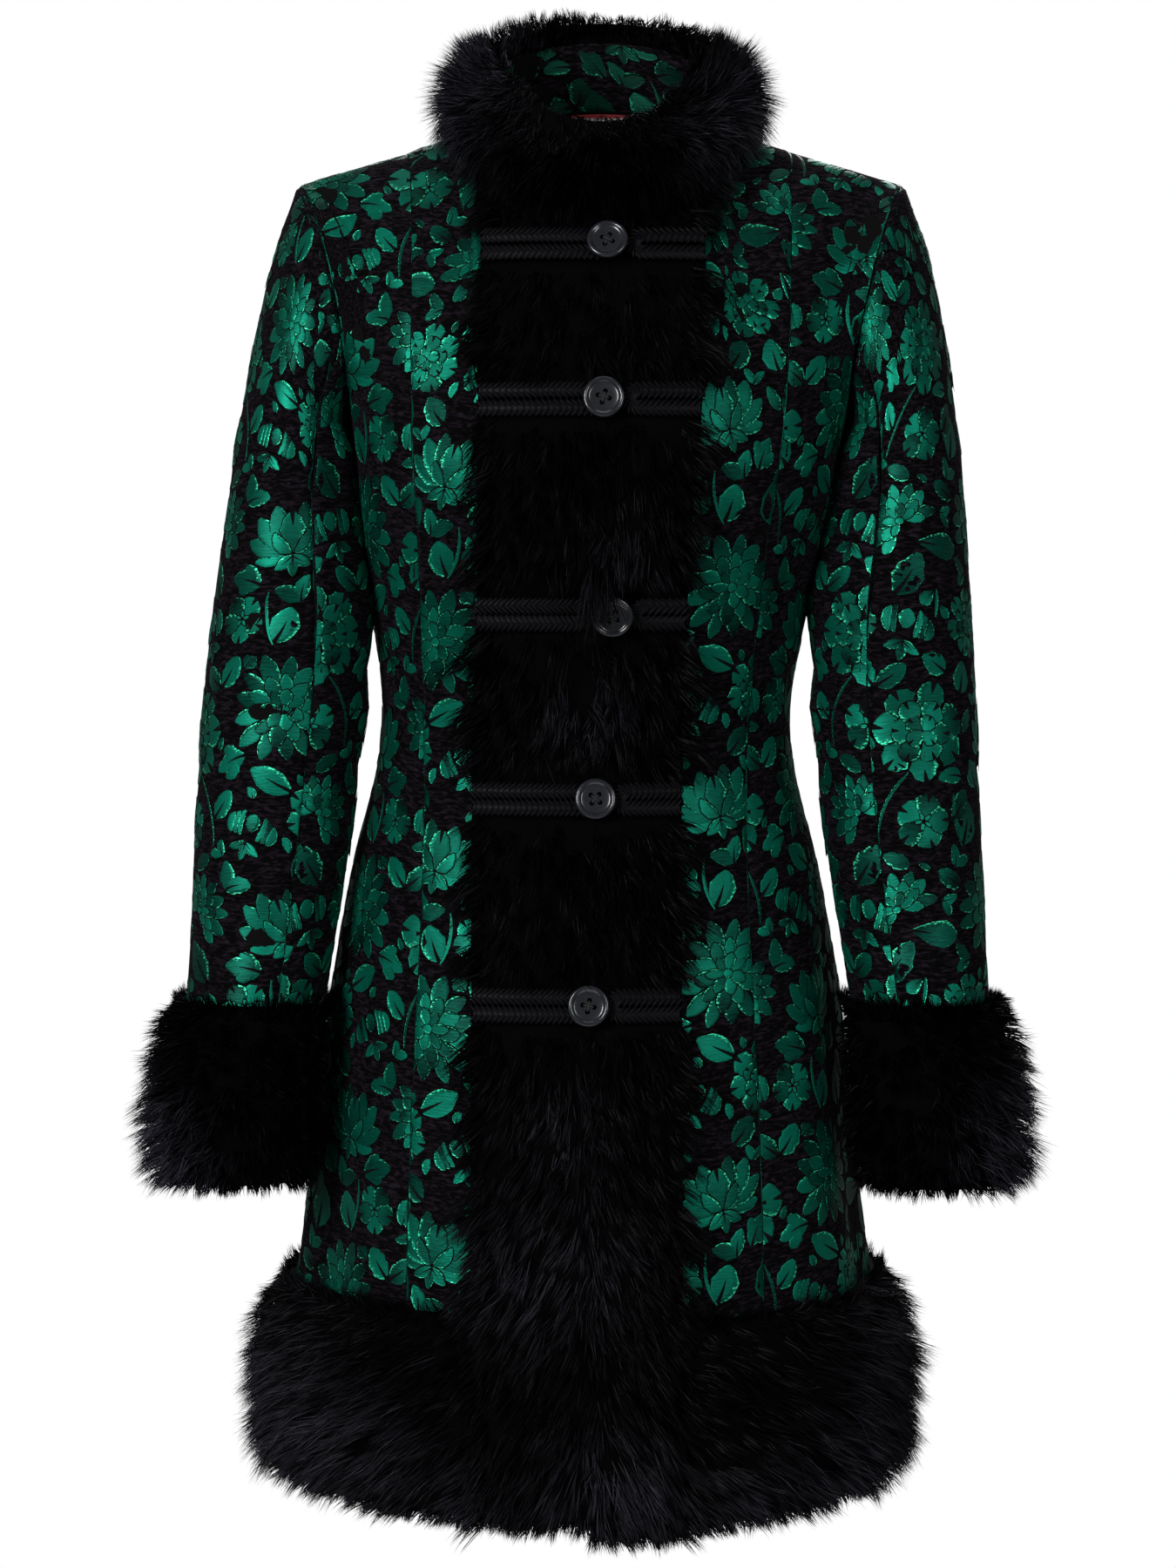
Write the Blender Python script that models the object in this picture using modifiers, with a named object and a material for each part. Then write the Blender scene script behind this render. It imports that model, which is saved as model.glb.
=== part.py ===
import math
from collections import namedtuple

import bmesh
import bpy
from mathutils import Vector

# Fur-trimmed brocade coat in its worn shape, hollow, with no wearer.
# The front faces -Y, +Z is up, and the origin is the middle of the neck at the side neck points.
# Sizes and tables are in millimetres and become metres where the meshes are made.
# Sides are the wearer's: LEFT is +X, RIGHT is -X.

COAT_NAME = "fur_trimmed_coat"
MM = 0.001
RIGHT, LEFT = -1, 1
FRONT, BACK = -1, 1

# Cloth and seams
CLOTH_WALL = 2.0
SEAM_GAP = 0.7
LAID_GAP = 0.35
COLLAR_GAP = 1.5
ARMHOLE_GAP = 0.4
SHOULDER_GAP = 1.9
SHOULDER_END_GAP = 2.4
SIDE_SEAM_Y = 3.0
ROUNDNESS = 2.2
CHEST_Z = -245.0
YOKE_Z = -68.0
HEM_Z = -832.0
HEM_FUR_TOP_Z = -722.0
HEM_DROP_RIGHT = 4.0
HEM_DROP_LEFT = 11.0
HEM_SIDE_LIFT = 6.0

# Neck, shoulder and armhole
NECK_HALF = 78.0
NECK_FRONT_DEPTH = 80.0
NECK_BACK_DEPTH = 58.0
NECK_FRONT_Z = -50.0
NECK_BACK_Z = 20.0
NECK_COLUMN_X = 74.0
SHOULDER_X = 190.0
SHOULDER_Z = -34.0
SHOULDER_CROWDING = 2.2
START_HANDLE = 0.42

# Collar
COLLAR_TOP_HALF = 69.0
COLLAR_TOP_FRONT = 77.0
COLLAR_TOP_BACK = 53.0
COLLAR_TOP_FRONT_Z = -14.0
COLLAR_TOP_SIDE_Z = 38.0
COLLAR_TOP_BACK_Z = 60.0
COLLAR_CELLS = 28

# Front opening and fur
OPENING_X = 5.0
BAND_RIGHT_X = 68.0
BAND_LEFT_X = 58.0
FRONT_PILE = 26.0
FRONT_UPPER_SHARE = 0.78
HEM_PILE = 29.0
CUFF_PILE = 29.0
COLLAR_PILE = 31.0
FUR_OVERHANG = 16.0
FROG_GROOVE = 7.0

# Frogs and buttons
BRAID_WIDTH = 9.4
BRAID_THICK = 3.2
BRAID_CENTRE = 5.2
BRAID_INSET = 3.0
BUTTON_RADIUS = 12.5
BUTTON_HOLE_RADIUS = 1.3
BUTTON_HOLE_OFFSET = 2.7

# Blank label
LABEL_WIDTH = 36.0
LABEL_HEIGHT = 24.0
LABEL_THICK = 0.8

# The skirt and the sleeves hang this far to the wearer's right of the neck, between two depths below it.
Sway = namedtuple("Sway", "amount start depth")
BODY_SWAY = Sway(10.0, 80.0, 420.0)
SLEEVE_SWAY = Sway(8.3, 70.0, 440.0)

# Body sections from the hem up. The seam column is the princess seam's distance from the centre.
Section = namedtuple("Section", "z half_width front_depth back_depth seam_x")
BODY = (
    Section(-870, 192.0, 162.0, 156.0, 111.5),
    Section(-780, 186.0, 157.0, 150.0, 110.0),
    Section(-720, 181.5, 151.0, 144.0, 109.0),
    Section(-630, 170.5, 142.0, 135.0, 107.0),
    Section(-542, 161.5, 132.0, 126.0, 103.0),
    Section(-454, 146.0, 116.0, 107.0, 99.5),
    Section(-405, 133.0, 106.0, 93.0, 99.5),
    Section(-365, 129.0, 103.0, 87.0, 100.5),
    Section(-322, 133.5, 109.0, 91.0, 102.5),
    Section(-245, 148.0, 126.0, 104.0, 108.0),
    Section(-200, 155.0, 130.0, 109.0, 113.0),
)

# Directions in which the cloth arrives at its top edge, from the centre line (0) by the side neck
# point (1) and the shoulder point (2) to the underarm (3). Reach is how far down the direction holds.
Arrival = namedtuple("Arrival", "station out back up reach")
ARRIVALS = (
    Arrival(0.0, 0.00, 0.36, 0.93, 0.30),
    Arrival(0.7, -0.02, 0.55, 0.83, 0.22),
    Arrival(0.9, -0.01, 0.72, 0.69, 0.16),
    Arrival(1.0, 0.00, 1.00, 0.00, 0.14),
    Arrival(1.5, 0.25, 0.96, -0.08, 0.25),
    Arrival(2.0, 0.65, 0.74, -0.20, 0.22),
    Arrival(2.2, 0.62, 0.40, 0.60, 0.22),
    Arrival(2.5, 0.35, 0.00, 0.93, 0.25),
    Arrival(2.75, 0.10, -0.20, 0.97, 0.28),
    Arrival(3.0, 0.04, 0.00, 1.00, 0.30),
)

# Which columns of the chest run up to each place round the armhole, from the shoulder point down.
Armhole = namedtuple("Armhole", "turn front_angle back_angle")
ARMHOLE = (
    Armhole(0.0, 58.0, 55.0),
    Armhole(22.5, 60.5, 57.5),
    Armhole(45.0, 63.0, 60.0),
    Armhole(67.5, 65.5, 62.5),
    Armhole(90.0, 68.0, 65.0),
    Armhole(112.5, 71.5, 69.0),
    Armhole(135.0, 76.0, 74.5),
    Armhole(157.5, 82.5, 82.0),
    Armhole(180.0, 90.0, 90.0),
)

# Largest folds: ridges lift out, troughs go in. Angles are from the centre line to the side seam.
Fold = namedtuple("Fold", "side face angle spread z_top z_full lift")
FOLDS = (
    Fold(RIGHT, FRONT, 63, 8, -400, -640, -4.0),
    Fold(RIGHT, FRONT, 78, 7, -420, -700, 3.0),
    Fold(LEFT, FRONT, 60, 8, -420, -660, 3.0),
    Fold(LEFT, FRONT, 75, 7, -400, -680, -4.0),
    Fold(RIGHT, BACK, 24, 8, -380, -650, 4.5),
    Fold(RIGHT, BACK, 46, 8, -400, -650, -4.5),
    Fold(RIGHT, BACK, 68, 8, -400, -680, 4.0),
    Fold(LEFT, BACK, 20, 8, -390, -650, 4.0),
    Fold(LEFT, BACK, 43, 9, -380, -640, -5.0),
    Fold(LEFT, BACK, 66, 8, -410, -680, 4.5),
)

# Sleeve rings from the armhole to the end of the cuff's fur. Each leans from an outer to an inner point.
Ring = namedtuple("Ring", "outer_x outer_z inner_x inner_z half_depth centre_y bow")
ARMHOLE_RING = Ring(SHOULDER_X, SHOULDER_Z, 158.5, -182, 58.0, 3, 11)
SLEEVE = (
    Ring(191.6, -36, 158.8, -182, 58.5, 3, 10.5),
    Ring(195.0, -46, 160.0, -187, 60.0, 3, 10),
    Ring(204.0, -71, 161.0, -193, 62.0, 3, 8),
    Ring(212.5, -106, 160.5, -202, 63.0, 1, 5),
    Ring(220.0, -150, 156.5, -215, 62.5, -4, 2),
    Ring(226.5, -200, 151.5, -233, 61.0, -10, 0),
    Ring(232.0, -248, 147.2, -256, 60.0, -16, 0),
    Ring(237.0, -296, 139.8, -298, 58.0, -21, 0),
    Ring(241.0, -344, 138.5, -344, 56.0, -24, 0),
    Ring(244.0, -394, 142.5, -394, 54.0, -28, 0),
    Ring(246.0, -450, 149.5, -450, 52.0, -36, 0),
    Ring(247.5, -500, 157.0, -500, 50.0, -45, 0),
    Ring(249.5, -540, 163.5, -540, 48.5, -54, 0),
    Ring(250.5, -562, 166.5, -562, 48.0, -58, 0),
    Ring(251.5, -600, 170.0, -600, 47.0, -65, 0),
    Ring(252.5, -637, 173.0, -637, 46.5, -71, 0),
    Ring(253.0, -656, 174.0, -656, 46.5, -74, 0),
)
CUFF_FIRST_RING = 12
SLEEVE_LAST_RING = 15
SLEEVE_SEAM_ANGLE = 112.5
SLEEVE_CELL_ANGLE = 22.5

# Frogs from the collar down: height, the button's place across, and where the loop and the tab end.
# Seats are how far each piece lies above the fur or the braid that carries it, more where the cloth curves.
Frog = namedtuple("Frog", "z button_x loop_end_x tab_end_x loop_seat tab_seat button_seat")
FROGS = (
    Frog(-80, 4.0, 8.0, 13.0, 1.0, 0.6, 1.0),
    Frog(-172, 3.0, 7.0, 12.0, 0.6, 0.6, 0.4),
    Frog(-298, 13.0, 2.0, 22.0, 0.6, 0.6, 0.4),
    Frog(-414, 6.0, 10.0, 15.0, 0.6, 0.6, 0.4),
    Frog(-537, 2.0, 6.0, 11.0, 0.6, 0.6, 0.4),
)

# Profile of a button from the middle of its back round to the middle of its face.
Turn = namedtuple("Turn", "radius height")
BUTTON_PROFILE = (
    Turn(0.0, 0.0),
    Turn(10.6, 0.0),
    Turn(BUTTON_RADIUS, 1.3),
    Turn(BUTTON_RADIUS, 3.2),
    Turn(11.6, 4.4),
    Turn(10.2, 4.4),
    Turn(8.8, 3.0),
    Turn(0.0, 2.6),
)

Finish = namedtuple("Finish", "name colour roughness metallic")
BROCADE = Finish("brocade", (0.010, 0.085, 0.058), 0.45, 0.15)
FUR = Finish("black_fur", (0.012, 0.012, 0.014), 0.75, 0.0)
BRAID = Finish("gimp_braid", (0.010, 0.010, 0.012), 0.60, 0.0)
HORN = Finish("button_slate", (0.060, 0.065, 0.075), 0.30, 0.0)
LABEL = Finish("label_ribbon", (0.60, 0.60, 0.60), 0.70, 0.0)


# Curves and tables

def smooth_between(keys, values, at):
    last = len(keys) - 1
    at = min(max(at, keys[0]), keys[last])
    i = 0
    while i < last - 1 and at > keys[i + 1]:
        i += 1

    def slope(k):
        low, high = max(k - 1, 0), min(k + 1, last)
        return (values[high] - values[low]) / (keys[high] - keys[low])

    span = keys[i + 1] - keys[i]
    t = (at - keys[i]) / span
    start = (1 + 2 * t) * (1 - t) ** 2 * values[i] + t * (1 - t) ** 2 * span * slope(i)
    return start + t * t * (3 - 2 * t) * values[i + 1] + t * t * (t - 1) * span * slope(i + 1)


def table_value(table, key, column, at):
    return smooth_between([getattr(row, key) for row in table], [getattr(row, column) for row in table], at)


def ease(t):
    t = min(max(t, 0.0), 1.0)
    return t * t * (3 - 2 * t)


def blend(a, b, t):
    return a + (b - a) * t


# Body form

def body_size(z, column):
    return table_value(BODY, "z", column, z)


def depth_at(face, z):
    return body_size(z, "front_depth" if face == FRONT else "back_depth")


def angle_of(face, x, z):
    share = (abs(x) / body_size(z, "half_width")) ** ROUNDNESS
    return math.copysign(math.atan2(abs(x), depth_at(face, z) * (1 - share) ** (1 / ROUNDNESS)), x)


def radius_at(face, angle, z):
    across = abs(math.sin(angle)) / body_size(z, "half_width")
    deep = abs(math.cos(angle)) / depth_at(face, z)
    return (across ** ROUNDNESS + deep ** ROUNDNESS) ** (-1 / ROUNDNESS)


def fold_lift(face, side, angle, z):
    lift = 0.0
    for fold in FOLDS:
        if fold.side == side and fold.face == face:
            near = math.exp(-((math.degrees(angle) - fold.angle) / fold.spread) ** 2)
            lift += fold.lift * near * ease((fold.z_top - z) / (fold.z_top - fold.z_full))
    return lift


def ring_point(face, side, angle, z):
    drop = 0.0
    if face == FRONT:
        drop = HEM_DROP_LEFT if side == LEFT else HEM_DROP_RIGHT
    lift = HEM_SIDE_LIFT * math.sin(angle) ** 2 - drop * math.cos(angle) ** 2
    z += lift * ease((HEM_FUR_TOP_Z + 60 - z) / 120)
    radius = radius_at(face, angle, z) + fold_lift(face, side, angle, z)
    return Vector((side * radius * math.sin(angle), SIDE_SEAM_Y + face * radius * math.cos(angle), z))


def neck_point(turn):
    # The neck seam, from the centre front (0) by the left side neck point (90) to the centre back (180).
    forward = math.cos(turn)
    depth = NECK_FRONT_DEPTH if forward > 0 else NECK_BACK_DEPTH
    height = NECK_FRONT_Z if forward > 0 else NECK_BACK_Z
    return Vector((NECK_HALF * math.sin(turn), SIDE_SEAM_Y - depth * forward, height * abs(forward) ** 1.4))


def armhole_point(turn):
    return sleeve_point(ARMHOLE_RING, turn)


def sleeve_point(ring, turn):
    outer = Vector((ring.outer_x, ring.centre_y, ring.outer_z))
    inner = Vector((ring.inner_x, ring.centre_y, ring.inner_z))
    point = (outer + inner) / 2 + (outer - inner) / 2 * math.cos(turn)
    point.y -= ring.half_depth * math.sin(turn)
    point.x -= ring.bow * abs(math.sin(turn))
    return point


def armhole_column(face):
    return "front_angle" if face == FRONT else "back_angle"


def shoulder_angle(face):
    return math.radians(getattr(ARMHOLE[0], armhole_column(face)))


def top_edge(face, angle):
    # Where a column of cloth ends on the left side of the body, and its arrival as a share of its length.
    neck_angle = angle_of(face, NECK_COLUMN_X, CHEST_Z)
    if angle <= neck_angle:
        across = radius_at(face, angle, CHEST_Z) * math.sin(angle) / NECK_COLUMN_X
        turn = math.asin(min(max(across, -1.0), 1.0))
        point = neck_point(turn if face == FRONT else math.pi - turn)
        station = abs(angle) / neck_angle
    elif angle <= shoulder_angle(face):
        share = ((angle - neck_angle) / (shoulder_angle(face) - neck_angle)) ** SHOULDER_CROWDING
        point = neck_point(math.pi / 2).lerp(armhole_point(0), share)
        point.y += face * blend(SHOULDER_GAP, SHOULDER_END_GAP, share) / 2
        station = 1 + share
    else:
        turn = table_value(ARMHOLE, armhole_column(face), "turn", math.degrees(angle))
        point = armhole_point(-face * math.radians(turn))
        point.x -= ARMHOLE_GAP / 2
        station = 2 + turn / 180
    arrive = Vector((
        table_value(ARRIVALS, "station", "out", station),
        -face * table_value(ARRIVALS, "station", "back", station),
        table_value(ARRIVALS, "station", "up", station),
    ))
    return point, arrive.normalized() * table_value(ARRIVALS, "station", "reach", station)


def chest_curve(face, angle):
    start = ring_point(face, RIGHT, angle, CHEST_Z)
    above = ring_point(face, RIGHT, angle, CHEST_Z + 6)
    start.x, above.x = -start.x, -above.x
    end, arrive = top_edge(face, angle)
    reach = (end - start).length
    leave = (above - start).normalized()
    return start, start + leave * reach * START_HANDLE, end - arrive * reach, end


def curve_point(curve, t):
    a, b, c, d = curve
    return a * (1 - t) ** 3 + b * 3 * t * (1 - t) ** 2 + c * 3 * t * t * (1 - t) + d * t ** 3


def curve_share(curve, z):
    low, high = 0.0, 1.0
    for _ in range(40):
        middle = (low + high) / 2
        if curve_point(curve, middle).z < z:
            low = middle
        else:
            high = middle
    return low


def body_column(face, side, angle_at, heights, base, shares):
    # Heights are levels of the whole row; shares go on from the base height to the column's own top edge.
    points = [ring_point(face, side, angle_at(z), z) for z in heights if z <= CHEST_Z]
    curve = chest_curve(face, angle_at(CHEST_Z))
    first = curve_share(curve, base)
    places = [curve_share(curve, z) for z in heights if z > CHEST_Z]
    places += [blend(first, 1.0, share) for share in shares]
    for place in places:
        point = curve_point(curve, place)
        point.x *= side
        points.append(point)
    return points


def rows_of(columns):
    return [list(row) for row in zip(*columns)]


# Columns of each panel, as angles that depend on the height

def centre_front_columns(side):
    opening = OPENING_X * side + SEAM_GAP
    band = BAND_LEFT_X if side == LEFT else BAND_RIGHT_X
    band_shares = (0.0, 0.33, 0.67, 1.0)

    def on_band(share):
        return lambda z: angle_of(FRONT, blend(opening, band, share), z)

    def seam(z):
        return body_size(z, "seam_x") - SEAM_GAP / 2

    def to_neck(z):
        return blend(blend(band, seam(z), 0.5), NECK_COLUMN_X, ease((z - CHEST_Z + 200) / 200))

    columns = [on_band(share) for share in band_shares]
    if side == LEFT:
        columns.append(lambda z: angle_of(FRONT, blend(band, to_neck(z), 0.5), z))
    columns.append(lambda z: angle_of(FRONT, to_neck(z), z))
    columns.append(lambda z: angle_of(FRONT, seam(z), z))
    return columns


def spread_columns(face, first_angle, corner_angles, first_gap):
    # Columns that fan out to the armhole at the chest and are evenly spaced at the hem.
    def column(i):
        def angle_at(z):
            half = body_size(z, "half_width")
            start = first_angle(z) + first_gap / half
            end = math.pi / 2 - SEAM_GAP / half
            chest_start = first_angle(CHEST_Z)
            chest_share = (corner_angles[i] - chest_start) / (math.pi / 2 - chest_start)
            even_share = i / (len(corner_angles) - 1)
            return blend(start, end, blend(chest_share, even_share, ease((CHEST_Z - 20 - z) / 300)))
        return angle_at
    return [column(i) for i in range(len(corner_angles))]


def armhole_angles(face):
    return [math.radians(getattr(row, armhole_column(face))) for row in ARMHOLE[1:]]


def side_front_columns():
    def seam(z):
        return angle_of(FRONT, body_size(z, "seam_x"), z)
    chest = seam(CHEST_Z)
    shoulder = [blend(chest, shoulder_angle(FRONT), i / 3) for i in range(4)]
    return spread_columns(FRONT, seam, shoulder + armhole_angles(FRONT), SEAM_GAP / 2)


def back_columns():
    neck = angle_of(BACK, NECK_COLUMN_X, CHEST_Z)
    corners = [neck * i / 4 for i in range(4)]
    corners += [blend(neck, shoulder_angle(BACK), i / 3) for i in range(4)]
    return spread_columns(BACK, lambda z: 0.0, corners + armhole_angles(BACK), SEAM_GAP)


# Heights of the rows

def frog_heights():
    return [frog.z + step for frog in FROGS for step in (-27, -12, 12, 27) if frog.z + step < YOKE_Z + 1]


CENTRE_SHARES = (0.35, 0.68, 0.88, 1.0)
SKIRT_HEIGHTS = [HEM_Z, -780, HEM_FUR_TOP_Z, -680, -620]
CENTRE_HEIGHTS = sorted(SKIRT_HEIGHTS + [-475, -356, CHEST_Z, -126, FROGS[0].z] + frog_heights())
SIDE_HEIGHTS = SKIRT_HEIGHTS + [-564, -510, -475, -441, -402, -387, -356, -325, -286, CHEST_Z]
SIDE_SHARES = (0.15, 0.3, 0.45, 0.6, 0.75, 0.91, 1.0)


def centre_front(side, heights, shares):
    columns = centre_front_columns(side)
    return rows_of([body_column(FRONT, side, angle, heights, YOKE_Z, shares) for angle in columns])


def side_front(side, heights, shares):
    columns = side_front_columns()
    return rows_of([body_column(FRONT, side, angle, heights, CHEST_Z, shares) for angle in columns])


def back(side, heights, shares):
    columns = back_columns()
    return rows_of([body_column(BACK, side, angle, heights, CHEST_Z, shares) for angle in columns])


def front_place(x, z, lift):
    # A point above the centre fronts, and the direction out of the cloth there.
    def at(dx, dz):
        side = LEFT if x > 0 else RIGHT
        angle = angle_of(FRONT, side * (x + dx), min(z, CHEST_Z))
        return body_column(FRONT, side, lambda _: angle, [z + dz], YOKE_Z, [])[0]
    middle = at(0, 0)
    out = (at(1, 0) - at(-1, 0)).cross(at(0, 1) - at(0, -1)).normalized()
    return middle + out * lift, out


# Meshes

def placed(point, sway=BODY_SWAY):
    across = sway.amount * ease((-point.z - sway.start) / (sway.depth - sway.start))
    return Vector((point.x - across, point.y, point.z)) * MM


def moved_out(rows, distance, flip, closed=False):
    last_row, count = len(rows) - 1, len(rows[0])

    def neighbour(j, step):
        return (j + step) % count if closed else min(max(j + step, 0), count - 1)

    moved = []
    for i, row in enumerate(rows):
        below, above = rows[max(i - 1, 0)], rows[min(i + 1, last_row)]
        points = []
        for j, point in enumerate(row):
            across = row[neighbour(j, 1)] - row[neighbour(j, -1)]
            out = across.cross(above[j] - below[j]).normalized()
            points.append(point + out * (-distance if flip else distance))
        moved.append(points)
    return moved


def material_of(finish):
    material = bpy.data.materials.get(finish.name)
    if material is None:
        material = bpy.data.materials.new(finish.name)
        material.use_nodes = True
        shader = material.node_tree.nodes["Principled BSDF"]
        shader.inputs["Base Color"].default_value = (*finish.colour, 1.0)
        shader.inputs["Roughness"].default_value = finish.roughness
        shader.inputs["Metallic"].default_value = finish.metallic
        material.diffuse_color = (*finish.colour, 1.0)
    return material


def add_object(name, mesh, finish):
    thing = bpy.data.objects.new(name, mesh)
    mesh.materials.append(material_of(finish))
    coat.objects.link(thing)
    return thing


def wall(name, rows, finish, thick, flip, outward=False, closed=False, pile=None, sway=BODY_SWAY):
    # An open surface of quads given a wall. Pile holds each point's share of the thickness.
    mesh = bpy.data.meshes.new(name)
    shape = bmesh.new()
    corners = [[shape.verts.new(placed(point, sway)) for point in row] for row in rows]
    count = len(rows[0])
    for i in range(len(rows) - 1):
        for j in range(count if closed else count - 1):
            k = (j + 1) % count
            quad = [corners[i][j], corners[i][k], corners[i + 1][k], corners[i + 1][j]]
            shape.faces.new(quad[::-1] if flip else quad)
    shape.to_mesh(mesh)
    shape.free()
    thing = add_object(name, mesh, finish)
    thicken = thing.modifiers.new("wall", "SOLIDIFY")
    thicken.thickness = thick * MM
    thicken.offset = 1.0 if outward else -1.0
    if pile:
        group = thing.vertex_groups.new(name="pile")
        shares = [share for row in pile for share in row]
        for index, share in enumerate(shares):
            group.add([index], share, "REPLACE")
        thicken.vertex_group = group.name
    return thing


# Brocade panels

def build_body(side):
    word = "left" if side == LEFT else "right"
    centre = centre_front(side, CENTRE_HEIGHTS, CENTRE_SHARES)
    sides = side_front(side, SIDE_HEIGHTS, SIDE_SHARES)
    backs = back(side, SIDE_HEIGHTS, SIDE_SHARES)
    wall(f"front_{word}_centre", centre, BROCADE, CLOTH_WALL, side == RIGHT)
    wall(f"front_{word}_side", sides, BROCADE, CLOTH_WALL, side == RIGHT)
    wall(f"back_{word}", backs, BROCADE, CLOTH_WALL, side == LEFT)


def sleeve_rows(side, first, last, turns, shift):
    rows = []
    for ring in SLEEVE[first:last + 1]:
        points = [sleeve_point(ring, math.radians(turn)) for turn in turns]
        rows.append([Vector((side * (point.x + shift), point.y, point.z)) for point in points])
    return rows


def trimmed(row):
    # A row of points with its two ends drawn in by half a seam gap.
    first = row[0] + (row[1] - row[0]).normalized() * SEAM_GAP / 2
    last = row[-1] + (row[-2] - row[-1]).normalized() * SEAM_GAP / 2
    return [first] + row[1:-1] + [last]


def build_sleeve(side):
    word = "left" if side == LEFT else "right"
    cells = round(360 / SLEEVE_CELL_ANGLE)
    split = round(2 * SLEEVE_SEAM_ANGLE / SLEEVE_CELL_ANGLE)
    turns = [SLEEVE_CELL_ANGLE * i - SLEEVE_SEAM_ANGLE for i in range(cells)]
    rows = sleeve_rows(side, 0, SLEEVE_LAST_RING, turns, ARMHOLE_GAP / 2)
    inner = moved_out(rows, -CLOTH_WALL, side == RIGHT, closed=True)
    upper = [trimmed(row[:split + 1]) for row in inner]
    under = [trimmed(row[split:] + row[:1]) for row in inner]
    for part, cut in (("upper", upper), ("under", under)):
        name = f"sleeve_{word}_{part}"
        wall(name, cut, BROCADE, CLOTH_WALL, side == RIGHT, outward=True, sway=SLEEVE_SWAY)


# Collar

def collar_point(turn, rise):
    base = neck_point(turn)
    forward = math.cos(turn)
    depth = COLLAR_TOP_FRONT if forward > 0 else COLLAR_TOP_BACK
    end_z = COLLAR_TOP_FRONT_Z if forward > 0 else COLLAR_TOP_BACK_Z
    height = blend(COLLAR_TOP_SIDE_Z, end_z, abs(forward) ** 1.4)
    top = Vector((COLLAR_TOP_HALF * math.sin(turn), SIDE_SEAM_Y - depth * forward, height))
    point = base + (top - base) * rise
    point.z += COLLAR_GAP
    return point


def collar_rows(rises, gap):
    start = math.asin(OPENING_X / NECK_HALF)
    trim = gap / 2 / NECK_HALF
    end = start - trim + 2 * math.pi
    turns = [blend(start + trim, end, i / COLLAR_CELLS) for i in range(COLLAR_CELLS + 1)]
    return [[collar_point(turn, rise) for turn in turns] for rise in rises]


COLLAR_RISES = (0.0, 0.45, 0.8, 1.0)
PileRow = namedtuple("PileRow", "rise share")
COLLAR_PILE_ROWS = (
    PileRow(0.04, 0.80),
    PileRow(0.45, 1.00),
    PileRow(0.80, 0.98),
    PileRow(1.00, 0.85),
    PileRow(1.38, 0.40),
)


def build_collar():
    wall("collar_facing", collar_rows(COLLAR_RISES, SEAM_GAP), BROCADE, CLOTH_WALL, False)
    base = moved_out(collar_rows([row.rise for row in COLLAR_PILE_ROWS], 3.0), LAID_GAP, False)
    pile = [[row.share] * (COLLAR_CELLS + 1) for row in COLLAR_PILE_ROWS]
    wall("collar_fur", base, FUR, COLLAR_PILE, False, outward=True, pile=pile)


# Fur bands

BAND_SHARES_ACROSS = (0.85, 1.0, 0.95, 0.50)


def band_pile(z):
    share = blend(FRONT_UPPER_SHARE, 1.0, ease((HEM_FUR_TOP_Z + 50 - z) / 60))
    for frog in FROGS:
        if abs(z - frog.z) < 13:
            share = FROG_GROOVE / FRONT_PILE
    return share


def build_front_fur(side):
    word = "left" if side == LEFT else "right"
    heights = [HEM_Z - FUR_OVERHANG] + CENTRE_HEIGHTS
    rows = [row[:4] for row in centre_front(side, heights, CENTRE_SHARES[:2])]
    rows = moved_out(rows, LAID_GAP, side == RIGHT)
    along = [0.55, 0.92] + [band_pile(z) for z in CENTRE_HEIGHTS[1:]] + [0.42, 0.42]
    pile = [[share if share < 0.4 else share * across for across in BAND_SHARES_ACROSS] for share in along]
    wall(f"front_fur_{word}", rows, FUR, FRONT_PILE, side == RIGHT, outward=True, pile=pile)


HEM_ROWS = (
    PileRow(HEM_Z - FUR_OVERHANG, 0.55),
    PileRow(HEM_Z, 0.90),
    PileRow(-780, 1.00),
    PileRow(-745, 0.96),
    PileRow(HEM_FUR_TOP_Z, 0.46),
)


def build_hem_fur():
    heights = [row.rise for row in HEM_ROWS]
    halves = {}
    for side in (RIGHT, LEFT):
        centre = [row[3:-1] for row in centre_front(side, heights, ())]
        sides = side_front(side, heights, ())
        backs = [row[::-1] for row in back(side, heights, ())]
        halves[side] = [a + b + c[1:] for a, b, c in zip(centre, sides, backs)]
    rows = [right[:-1] + left[::-1] for right, left in zip(halves[RIGHT], halves[LEFT])]
    rows = moved_out(rows, LAID_GAP, True)
    ends = (0.62, 0.9)
    count = len(rows[0])
    pile = []
    for row in HEM_ROWS:
        shares = [row.share] * count
        for i, end in enumerate(ends):
            shares[i] *= end
            shares[count - 1 - i] *= end
        pile.append(shares)
    wall("hem_fur", [trimmed(row) for row in rows], FUR, HEM_PILE, True, outward=True, pile=pile)


CUFF_SHARES_DOWN = (0.40, 0.86, 1.00, 0.95, 0.55)
CUFF_INNER_SHARE = 0.24


def build_cuff(side):
    word = "left" if side == LEFT else "right"
    cells = round(360 / SLEEVE_CELL_ANGLE)
    turns = [SLEEVE_CELL_ANGLE * i for i in range(cells)]
    rows = sleeve_rows(side, CUFF_FIRST_RING, len(SLEEVE) - 1, turns, ARMHOLE_GAP / 2)
    rows = moved_out(rows, LAID_GAP, side == RIGHT, closed=True)
    facing = [ease(0.62 + 0.62 * math.cos(math.radians(turn))) for turn in turns]
    around = [blend(CUFF_INNER_SHARE, 1.0, share) for share in facing]
    pile = [[down * share for share in around] for down in CUFF_SHARES_DOWN]
    wall(f"cuff_fur_{word}", rows, FUR, CUFF_PILE, side == RIGHT, outward=True, closed=True, pile=pile,
         sway=SLEEVE_SWAY)


# Frogs and buttons

GROOVE_LIFT = LAID_GAP + FROG_GROOVE
FOLD_CELLS = 6


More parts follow.
